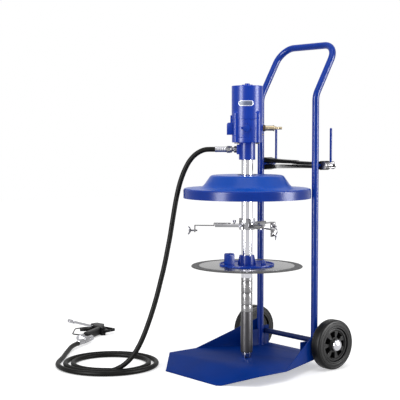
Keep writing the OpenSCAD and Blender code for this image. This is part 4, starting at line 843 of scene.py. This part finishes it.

# %% [markdown]
# The drum lid is pressed sheet: a down-turned rim, a flat shoulder and a cone that carries a rubber
# grommet. It is a lathe of a closed section, outer skin and inner skin, with a die's soft corners.
# The rim has the paint of the tubes. The flat top is the same sheet and paint, but it has a duller
# finish and a lighter blue painted on for the light that falls on it from above. The middle of each
# face tells on which of the two it lies.

# %% Drum lid
SLEEVE_R, LID_R, LID_HOLE, LID_TOP, SHOULDER_Z, RIM_Z, SHEET = 21.1, 229.5, 31.2, 701.0, 654.0, 619.0, 2.5
PAINTED_LIGHTER_TOP_R = 226.5
outer = eased([(LID_HOLE, LID_TOP), (130, LID_TOP), (163, SHOULDER_Z), (LID_R, SHOULDER_Z), (LID_R, RIM_Z)],
              [9, 20, 9], 8)
inner = eased([(LID_R - SHEET, RIM_Z), (LID_R - SHEET, SHOULDER_Z - SHEET), (162, SHOULDER_Z - SHEET),
               (129, LID_TOP - SHEET), (LID_HOLE, LID_TOP - SHEET)], [6.5, 20, 7], 8)
section = np.concatenate([outer, inner])
lid = formed("drum_lid", placed(at_pump, lathe(section, 192), closed=True), blue_paint).data
# painted light: the faces of the lid's top take the lighter blue that stands in for the light from above
lid.materials.append(lid_top_painted_lighter)
middles = np.empty(3 * len(lid.polygons), np.float32)
lid.polygons.foreach_get("center", middles)
middles = middles.reshape(-1, 3) / MM
on_painted_lighter_top = np.hypot(middles[:, 0], middles[:, 1] - PUMP_Y) < PAINTED_LIGHTER_TOP_R
lid.polygons.foreach_set("material_index", on_painted_lighter_top.astype(np.int32))
grommet = eased([(SLEEVE_R, 700), (SLEEVE_R, 695.7), (33.8, 695.7), (34, 698.3), (30.7, 698.5),
                 (30.7, 701.1), (34, 701.3), (33.8, 703.9), (SLEEVE_R, 703.9), (SLEEVE_R, 700)], 0.7)[:-1]
formed("lid_grommet", placed(at_pump, lathe(grommet), closed=True), navy_paint)
print("lid:", len(lid.polygons), "faces")

# %% [markdown]
# The centring star holds the tube in the middle of a drum. Its hub and flat strips keep their
# packed form. Each arm has an upright thumb screw, and three more stand out from the hub between
# the arms. A thumb screw's head is a lathe with fine ridges pressed into it.

# %% Centring star
STAR_Z, STRIP_TOP, UPRIGHT_AT, SIDEWAYS_AT = 525.0, 525.25, 46.0, 38.8
ARM_TURNS = (61.0, 181.0, 301.0)
dressed("star_hub", turned_steel, 0.7)
for number in (1, 2, 3):
    dressed(f"star_arm_{number}", zinc, 0.5)
knob = knurled(turned([(5.4, 0), (6.3, 0.9), (6.3, 8.1), (5.4, 9), (2.5, 9), (2.2, 8.2)], 0.3, segments=160),
               20, 0.35, 0.8, 8.2)
stem = turned([(3, 0), (3, 5)], 0.3, segments=32)
screws = []
for turn in ARM_TURNS:
    upright = [turned_by(grid + [UPRIGHT_AT, 0, STRIP_TOP + z], turn) for grid, z in ((stem, 0), (knob, 4))]
    sideways = turned_by(along_x(knob, SIDEWAYS_AT, STAR_Z - 4), turn + 60)
    screws += placed(at_pump, *upright, sideways)
formed("star_screws", screws, screw_steel)
print("knobs:", 2 * len(ARM_TURNS))

# %% [markdown]
# Each jaw of the star has a wing screw: a turned hub with two splayed ears. An ear is a flat piece
# with a rounded rim. The three screws stand at different angles, as they do after tightening.

# %% Wing screws
SCREW_X, EARS_X, SCREW_Z = 179.0, 201.2, STAR_Z - 25.0
ear = eased_loop([(2.5, 2.5), (6, 3.5), (11.5, 10), (12.5, 15.5), (9, 16.2), (5, 12), (2.2, 7)], 1.6)
bolt = turned([(2.4, 0), (3, 0.8), (3, 22.4), (4.5, 23), (4.5, 30.5), (3.6, 31.4)], 0.4, segments=32)
for number, turn, tilt in zip((1, 2, 3), ARM_TURNS, (70.0, 115.0, 80.0)):
    c, n = math.cos(math.radians(tilt)), math.sin(math.radians(tilt))
    grids = [along_x(bolt, SCREW_X, SCREW_Z)]
    for side in (1, -1):
        x, y, z = np.moveaxis(slab(ear * [1, side], -1.25, 1.25, 0.7), -1, 0)
        grids.append(np.stack([x, y * c - z * n, y * n + z * c], -1) + [EARS_X, 0, SCREW_Z])
    formed(f"wing_screw_{number}", placed(at_pump, *[turned_by(grid, turn) for grid in grids]), screw_steel)
print("wing screws: 3")

# %% [markdown]
# The follower presses the grease down: a steel plate, a rubber lip that wipes the drum's wall, and
# a blue boss with a ribbed collar, a grip and a vent. Plate and lip are lathes of closed sections
# with a fine gap between them, which shows as a dark ring.

# %% Follower
FOLLOWER_Z, LIP_R = 375.0, 201.4
plate = eased([(SLEEVE_R, -1.5), (SLEEVE_R, -3), (173, -3), (173, 0), (SLEEVE_R, 0), (SLEEVE_R, -1.5)],
              [.3, .6, .9, .3])[:-1]
lip = eased([(159.2, -4.2), (159.2, -5.2), (196, -5.2), (LIP_R, -4.0), (LIP_R, -2.6), (199, -0.1),
             (174.6, -0.1), (173.4, -1.2), (173.4, -3.25), (159.2, -3.25), (159.2, -4.2)],
            [.3, .6, 1, .6, 1.2, .8, .3, .1, .3])[:-1]
for node, section, finish in (("follower_plate", plate, zinc), ("follower_lip", lip, lip_rubber)):
    formed(node, placed(at_pump, lathe(section, 192) + [0, 0, FOLLOWER_Z], closed=True), finish)
dressed("follower_boss", blue_plastic, 0.8)
dressed("follower_grips", blue_plastic, 1.5)
print("follower across:", 2 * LIP_R, "mm")

# %% [markdown]
# A solid tyre has no air: its section is a block of rubber with rounded shoulders, a moulded ring
# on each side and a groove in the tread. One half of the section is written, and the other is its
# mirror. The rim's face is a height over radius and angle, with seven deep pockets between its
# spokes, and a chromed dome closes the hub.

# %% Wheels
POCKETS, POCKET_DEPTH, POCKET_FROM, POCKET_TO, POCKET_EDGE = 7, 25.0, 26.5, 48.5, 1.2
RIM_R, RIM_HALF, RIM_BACK, CAP_AT = 59.6, 15.6, 14.0, 23.5
half_tyre = np.array([(60.3, 20.3), (61.6, 22), (66.5, 22), (67.6, 20.7), (68.8, 21.9), (78.6, 21.4),
                      (79.8, 19.9), (81.2, 21), (85.8, 19.6), (89, 16), (90, 12.2), (90, 11.6), (88.7, 11.1),
                      (88.7, 9.9), (90, 9.4)])
tyre = eased_loop(np.concatenate([half_tyre, half_tyre[::-1] * [1, -1]]), 0.9)
t = np.linspace(0, np.pi / 2, 12)
dome = np.stack([20.4 * np.cos(t), 2.6 + 10.3 * np.sin(t)], -1)[:-1]
cap = np.concatenate([[(AXIS, 0), (20.2, 0), (20.9, 0.6), (20.9, 2.2)], dome, [(AXIS, 12.9)]])


def step(v):
    """A smooth step from 0 to 1: v^2 (3 - 2 v)."""
    v = np.clip(v, 0, 1)
    return v ** 2 * (3 - 2 * v)


def rim_grid():
    """A disc whose outer face has pockets: height = face(r) - depth s(u) s(r - from) s(to - r),
    with u how far a point lies inside a pocket's nearer side, and s a smooth step over its edge."""
    a = np.linspace(0, 2 * np.pi, POCKETS * 56, endpoint=False)[None, :]
    e = np.abs((a * POCKETS / (2 * np.pi)) % 1 - 0.5) * 2 * np.pi / POCKETS
    r = np.concatenate([np.linspace(9.5, 25, 8), np.linspace(26, 28, 9), np.linspace(29, 47, 19),
                        np.linspace(47.3, 49.3, 9), np.linspace(50, 58.8, 12)])[:, None]
    face = 13.0 + 4.2 * step((r - 49.8) / 3.5) - 1.0 * step((r - 57.6) / 1.2) + 7.0 * step((23 - r) / 5)
    side, half = (math.pi / POCKETS - e) * r, 0.255 * r + 0.8
    pocket = step((half - side) / POCKET_EDGE)
    pocket = pocket * step((r - POCKET_FROM) / POCKET_EDGE) * step((POCKET_TO - r) / POCKET_EDGE)
    front = np.stack([r * np.cos(a), r * np.sin(a), face - POCKET_DEPTH * pocket], -1)
    edge = lathe([(RIM_R, RIM_HALF), (RIM_R, -RIM_HALF)], a.shape[1])
    back = front[::-1].copy()
    back[..., 2] = -np.minimum(face, RIM_BACK)[::-1]
    return np.concatenate([front, edge, back])


caps = []
for side, name in ((-1, "left"), (1, "right")):
    formed(name + "_tyre", [shell(at_wheel(side, lathe(tyre, 192)), closed=True)], tyre_rubber)
    formed(name + "_rim", [shell(at_wheel(side, rim_grid()), closed=True)], black_plastic)
    caps.append(shell(at_wheel(side, lathe(cap) + [0, 0, CAP_AT])))
formed("hub_caps", caps, polished_steel)
print("tyre section:", len(tyre), "points")

# %% [markdown]
# A lashing strap is wound round both hooks: flat webbing, five turns, each a little wider than the
# last, pressed together between the hooks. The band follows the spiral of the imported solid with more
# points and a closer waist, and it wanders sideways by a millimetre or two from turn to turn.

# %% Strap
STRAP_TURNS, STRAP_PITCH, STRAP_T, STRAP_W, WANDER = 5, 3.0, 1.6, 44.0, 1.6
STRAP_R, STRAP_Y = 6.5, 43.75


def strap_line(t):
    """The spiral: at the angle a = 90 - 360 t it reaches to the hooks by a clipped cosine, and its
    half height shrinks towards the waist, where the windings are pressed together."""
    a = np.radians(90 - 360 * t)
    reach = np.clip(4 * np.cos(a), -1, 1)
    near, bow, out = 1 - reach ** 8, 1 - 0.15 * reach, STRAP_PITCH * t
    half_height = STRAP_R * (1 - 0.82 * near) + out * (1 - 0.25 * near * (0.5 + 0.6 * reach))
    across = FRAME_X * reach + (STRAP_R + out) * bow * np.cos(a)
    return np.stack([across, half_height * bow * np.sin(a)], -1)


turns = np.linspace(0, STRAP_TURNS, STRAP_TURNS * 160 + 1)
spiral = strap_line(turns)
way = np.gradient(spiral, axis=0)
normal = np.stack([way[:, 1], -way[:, 0]], -1) / np.linalg.norm(way, axis=1, keepdims=True)
half_section = np.array([(-1, -0.9), (-0.97, -1), (-0.6, -1), (0, -1), (0.6, -1), (0.97, -1), (1, -0.9)])
section = np.concatenate([half_section, -half_section])
sideways = WANDER * np.sin(2 * np.pi * turns * 0.37) - 0.2
wide = section[None, :, 0] * (STRAP_W / 2 - 2.2) + sideways[:, None]
thick = section[None, :, 1] * STRAP_T / 2
flat = spiral[:, None] + normal[:, None] * thick[..., None]
band = np.stack([flat[..., 0], STRAP_Y + wide, HOOK_Z + flat[..., 1]], -1)
run = np.concatenate([[0], np.cumsum(np.linalg.norm(np.diff(spiral, axis=0), axis=1))])
strap_uv = np.stack([np.broadcast_to(run[:, None] * MM, wide.shape), wide * MM], -1).reshape(-1, 2)
print("strap:", round(float(run[-1])), "mm of webbing")

# %% [markdown]
# Webbing is woven in a twill, so fine ribs run aslant across the band. They are a bump from a wave
# over the band's own UV map, whose first number is the length along it, so the weave turns with it.

# %% Webbing and strap piece
webbing = finish_of("strap_webbing", (0.006, 0.006, 0.007), 0.42, specular=0.1, tone=0.3)
tree = webbing.node_tree
cloth_uv, spread = node_in(tree, "UVMap"), node_in(tree, "Mapping", Scale=(420, 230, 1))
twill, ribs = node_in(tree, "TexWave", Scale=0.5), node_in(tree, "Bump", Strength=0.5, Distance=0.0004)
cloth_uv.uv_map = "UVMap"
twill.wave_type, twill.bands_direction = "BANDS", "DIAGONAL"
chain(tree, (cloth_uv, "UV", spread, "Vector"), (spread, "Vector", twill, "Vector"),
      (twill, "Fac", ribs, "Height"), (ribs, "Normal", tree.nodes["Principled BSDF"], "Normal"))
strap = formed("lashing_strap", placed(at_uprights, band), webbing, strap_uv)
dressed("strap_buckle", zinc, 0.8)
print("strap points:", len(strap.data.vertices))

# %% [markdown]
# The gun lies flat on the floor. Its fittings are turned: a crimped ferrule, a hexagon, a knurled
# sleeve, and a link whose two barrels let hose and gun turn.

# %% Gun fittings
GUN_NUT_X = -8.0
pin = turned([(5, 0), (5, 8.2)], 0.4, segments=32)
small_hex = hexagon(turned([(10.4, 0), (11.5, 0.8), (11.5, 5.2), (10.4, HEX_L)], 0.2), 23, 0, HEX_L)
sleeve = turned([(10.6, 0), (11.5, 1), (11.5, 7), (10.9, 7.6), (11.5, 8.2), (11.5, 40), (10.9, 40.6),
                 (11.5, 41.2), (11.5, 47), (10.6, SLEEVE_L)], 0.3, segments=192)
row, y = [], GUN_FERRULE_Y
for grid, length in ((crimped(CRIMP_L), CRIMP_L), (small_hex, HEX_L),
                     (knurled(sleeve, 32, 0.22, 8.2, 40), SLEEVE_L), (pin, 0)):
    row.append(along_y(grid, LINK_X, y))
    y += length
formed("gun_ferrule", placed(at_gun, *row), turned_steel)
dressed("swivel_link", pale_metal, 1.2)
gun_nut = turned([(10.4, 0), (11.5, 1), (11.5, 15), (10.4, 16), (7.5, 16), (7.5, 34.7)], 0.3)
formed("gun_nut", placed(at_gun, along_y(hexagon(gun_nut, 23, 0, 16), GUN_NUT_X, -34.75),
                         along_y(pin, GUN_NUT_X, -43)), turned_steel)
print("fittings of the gun:", len(row) + 2)

# %% [markdown]
# The gun's body is a casting. A slim plate carries the hanging loop: its skin runs between two
# outlines, both written as a radius round the middle of the loop. Two cheeks and a core make the
# thick part and leave the trigger's slot.

# %% Gun body
LOOP_MIDDLE = np.array([27.0, 155.0])
front = [(-52, 207), (-68, 177), (-55, 161), (-20, 129), (20, 98), (27, 107), (36, 107)]
loop_side = [(37, 117), (52, 150), (55, 159), (51, 167), (3, 185)]
loop_hole = [(9, 177), (4, 157), (38, 131), (46, 158), (43, 163)]
core_side = [(-52, 207), (-63.2, 186), (-45, 186), (-16, 160), (-16, 136), (-22.5, 133.6), (-20, 129),
             (20, 98), (27, 107), (36, 107), (0, 136), (-9, 190)]


def around(outline):
    """An outline as a radius for each angle round the loop's middle, by interpolation."""
    sides = zip(outline, np.roll(outline, -1, 0))
    d = np.concatenate([np.linspace(a, b, 40, endpoint=False) for a, b in sides]) - LOOP_MIDDLE
    angle, radius = np.arctan2(d[:, 1], d[:, 0]), np.hypot(d[:, 0], d[:, 1])
    order = np.argsort(angle)
    a = np.linspace(-np.pi, np.pi, 240, endpoint=False)
    r = np.interp(a, angle[order], radius[order], period=2 * np.pi)
    return np.stack([r * np.cos(a), r * np.sin(a)], -1) + LOOP_MIDDLE


def ring_slab(outer, inner, half, edge):
    """A plate with a hole: up the outside, over, down the inside and back. At each rim the outline
    moves by edge (1 - sin t) along its radius while the height falls by edge (1 - cos t)."""
    t = np.linspace(0, np.pi / 2, 4)
    inset, rise = edge * (1 - np.sin(t)), half - edge * (1 - np.cos(t))
    inset = np.concatenate([inset, inset[::-1]])[:, None, None]
    z = np.concatenate([-rise, rise[::-1]])[:, None, None]
    sides = []
    for line, by, height in ((outer, -inset, z), (inner, inset, -z)):
        away = line - LOOP_MIDDLE
        moved = LOOP_MIDDLE + away * (1 + by / np.linalg.norm(away, axis=1, keepdims=True))
        sides.append(raised(moved, height))
    return np.concatenate(sides)


plate_outline, hole_outline = eased_loop(front + loop_side, 3.5), eased_loop(loop_hole, 4.0)
loop_plate = ring_slab(around(plate_outline), around(hole_outline), 5.6, 2.2)
cheek = eased_loop(front + [(0, 136), (-9, 190)], 3.5)
core = slab(eased_loop(core_side, 1.5), -8, 8, 0.3)
gun_shells = placed(at_gun, loop_plate, closed=True)
gun_shells += placed(at_gun, slab(cheek, 7.5, 17, 2.6), slab(cheek, -17, -7.5, 2.6), core)
print("body outlines:", loop_plate.shape[1], "points")

# %% [markdown]
# The grip fills a hand: a section between a circle and a square, with two pressed grooves on each
# face. One formula gives the section at every height, so the grooves are part of the skin.

# %% Grip
def grip_grid():
    """Sections along the grip: |x/17|^3 + |z/16|^3 = 1, a little slimmer below the middle, with
    two grooves on each face where the angle gives |x| near 10.5."""
    y = np.concatenate([[0, 0.4, 1.6, 3.5], np.linspace(8, 128, 32), [132]])
    s = np.linspace(0, 2 * np.pi, 160, endpoint=False)[None, :]
    close = np.array([0.86, 0.93, 0.98] + [1.0] * 34)[:, None]
    slim = 1 - 0.03 * np.sin(np.pi * np.clip(y / 110, 0, 1))[:, None]
    c, n = np.cos(s), np.sin(s)
    r = (np.abs(c / 17) ** 3 + np.abs(n / 16) ** 3) ** (-1 / 3)
    x, z = r * c * slim * close, r * n * slim * close
    groove = 0.9 * np.exp(-((np.abs(x) - 10.5) / 0.9) ** 2) * (np.abs(z) > 8)
    groove = groove * ((y > 6) & (y < 118))[:, None]
    return np.stack([x, y[:, None] + 0 * s, z - np.sign(z) * groove], -1)


catch = eased_loop([(-15, 62), (-19, 66), (-25.5, 76), (-27, 73.5), (-24, 66), (-17, 56)], 1.2)
gun_shells += placed(at_gun, grip_grid(), slab(catch, -4, 4, 0.8))
formed("gun_body", gun_shells, black_casting)
print("gun shells:", len(gun_shells))

# %% [markdown]
# A bent wire guards the fingers, and the trigger is a flat hooked lever on a pin. The wire is a
# sweep with true bends. The lever is a slab with wide round rims, because a finger pulls on it, and
# its eye is turned on the axis of the pin.

# %% Guard, trigger and pin
PIVOT = (-36, 168, 0)
guard = bent([(-64, 175, 0), (-88, 165, 0), (-113, 120, 0), (-108, 104, 0), (-74, 17, 0), (-62, 7, 0),
              (-18.4, 4.1, 0)], 7, 8)
lever = eased_loop([(-31, 166), (-41, 147), (-58, 122), (-68, 113), (-80, 109), (-88, 110), (-86, 115),
                    (-74, 119), (-69, 132), (-60, 142), (-53, 158), (-41, 171)], 3)
eye = turned([(6.7, -7), (6.7, 7)], 1.0) + PIVOT
pivot = turned([(2.5, -17), (2.5, 17)], 0.6, segments=32) + PIVOT
formed("hand_guard", placed(at_gun, sweep(guard, 2.5, 20)), black_casting)
formed("gun_trigger", placed(at_gun, slab(lever, -7, 7, 2.4), eye), black_plastic)
formed("trigger_pin", placed(at_gun, pivot), polished_steel)
print("guard wire:", round(line_length(guard)), "mm")

# %% [markdown]
# The nozzle is a stiff pale tube in a collar, with a coupler that grips a grease nipple: a sleeve
# with a knurled ring and a chamfered mouth. Both are turned upright and then laid along the
# nozzle's own direction.

# %% Nozzle and coupler
NOZZLE_AT, NOZZLE_TURN = (-60.0, 192.0), 151.0


def along_nozzle(grid):
    """Lays a shape from the z axis along the nozzle: x' = z cos a - x sin a, y' = z sin a + x cos a."""
    c, n = math.cos(math.radians(NOZZLE_TURN)), math.sin(math.radians(NOZZLE_TURN))
    x, y, z = np.moveaxis(grid, -1, 0)
    return np.stack([NOZZLE_AT[0] + z * c - x * n, NOZZLE_AT[1] + z * n + x * c, y], -1)


tube = turned([(8.6, 0.25), (9.5, 1.2), (9.5, 6), (8.9, 6.6), (9.5, 7.2), (9.5, 18.6), (8.2, 20.2),
               (5.5, 20.2), (5.5, 165)], 0.4)
mouth = eased([(5.9, 151), (7.6, 151), (8, 151.8), (8, 170), (7.3, 170.8), (7.3, 173), (8, 173.8),
               (8, 191.6), (7, 193), (5, 193), (5, 181), (4.6, 179.2), (AXIS, 179.2)], 0.3)
coupler = knurled(lathe(mouth, 144), 24, 0.2, 174.5, 186)
for node, grid in (("nozzle_tube", tube), ("grease_coupler", coupler)):
    formed(node, placed(at_gun, along_nozzle(grid)), pale_metal)
print("nozzle:", mouth[:, 1].max(), "mm")

# %% [markdown]
# The nodes that are hidden, or whose packed form is already right, keep it and get their finish. A
# plain axle, rod or bolt would gain nothing from a new surface.

# %% Finishes of the kept nodes
kept = {"axle": navy_paint, "tie_bolts": dark_steel, "air_piston": pale_metal, "piston_rod": polished_steel}
for name, node in frame["nodes"].items():
    node.data.materials.clear()
    node.data.materials.append(kept.get(name, turned_steel))

# %% [markdown]
# A studio for glossy paint: a white floor and background, one tall soft box on each side that
# draws the two upright bands of light on every tube, and a soft lamp overhead. The two boxes show
# in reflections only, so that the bands are clear and a colour still renders as it is written.

# %% Lamps
BOX_AWAY, BOX_Z, BOX_H = 3.0, 1.25, 2.6


def lamp(name, place, aims_at, size, power):
    """A soft rectangular lamp that faces a point."""
    light = bpy.data.lights.new(name, "AREA")
    light.shape = "RECTANGLE"
    light.size, light.size_y = size
    light.energy = power
    holder = bpy.data.objects.new(name, light)
    scene.collection.objects.link(holder)
    holder.location = place
    holder.rotation_mode = "QUATERNION"
    holder.rotation_quaternion = (Vector(aims_at) - Vector(place)).to_track_quat("-Z", "Y")
    return holder


for name, azimuth, width, power in (("left_box", -88, 1.0, 290), ("right_box", 34, 1.25, 370)):
    a = math.radians(azimuth)
    place = (BOX_AWAY * math.cos(a), BOX_AWAY * math.sin(a), BOX_Z)
    lamp(name, place, (0, 0, 0.65), (width, BOX_H), power).visible_diffuse = False
lamp("top_box", (0.6, -0.6, 3.4), (0, 0, 0.5), (2.0, 2.0), 35)
print("lamps: 3")

# %% [markdown]
# White is what the camera, metal and glass see behind the object. Everything else is lit by the
# same sky at two thirds of that level. The floor is plain pale paint: it keeps the object's soft
# shadow, and glows a little for the camera so that it meets the background without a line.

# %% World
SKY = 0.65


def by_ray(tree, lit, shown, end):
    """Sends one shader to camera, glossy and transmission rays, and another to all other rays."""
    path, first, second = node_in(tree, "LightPath"), node_in(tree, "Math"), node_in(tree, "Math")
    choose = node_in(tree, "MixShader")
    first.operation = second.operation = "MAXIMUM"
    chain(tree, (path, "Is Camera Ray", first, 0), (path, "Is Glossy Ray", first, 1), (first, 0, second, 0),
          (path, "Is Transmission Ray", second, 1), (second, 0, choose, "Fac"), (lit, 0, choose, 1),
          (shown, 0, choose, 2), (choose, 0, end, "Surface"))


world = bpy.data.worlds.new("studio")
scene.world = world
world.use_nodes = True
tree = world.node_tree
tree.nodes.clear()
white, sky = (node_in(tree, "Background", Color=(1, 1, 1, 1), Strength=level) for level in (1.0, SKY))
by_ray(tree, sky, white, node_in(tree, "OutputWorld"))
print("sky:", SKY)

# %% [markdown]
# The floor is one large square just under the object. It has no gloss, so that it mirrors nothing.

# %% Floor
FLOOR_HALF, FLOOR_Z, FLOOR_TONE, FLOOR_GLOW = 9000.0, -0.5, 0.88, 0.48
corners = np.array([(-1, -1, 0), (1, -1, 0), (1, 1, 0), (-1, 1, 0)]) * FLOOR_HALF + [0, 0, FLOOR_Z]
floor = bpy.data.objects.new("floor", write_mesh("floor", corners, [np.array([[0, 1, 2, 3]])]))
scene.collection.objects.link(floor)
floor_paint = bpy.data.materials.new("floor_paint")
floor_paint.use_nodes = True
tree = floor_paint.node_tree
shader = tree.nodes["Principled BSDF"]
shader.inputs["Base Color"].default_value = (FLOOR_TONE, FLOOR_TONE, FLOOR_TONE, 1)
shader.inputs["Roughness"].default_value = 0.9
shader.inputs["Specular IOR Level"].default_value = 0.0
glow, both = node_in(tree, "Emission", Strength=FLOOR_GLOW), node_in(tree, "AddShader")
chain(tree, (shader, 0, both, 0), (glow, 0, both, 1))
by_ray(tree, shader, both, tree.nodes["Material Output"])
floor.data.materials.append(floor_paint)
scene.view_settings.view_transform = "Standard"
print("studio ready")
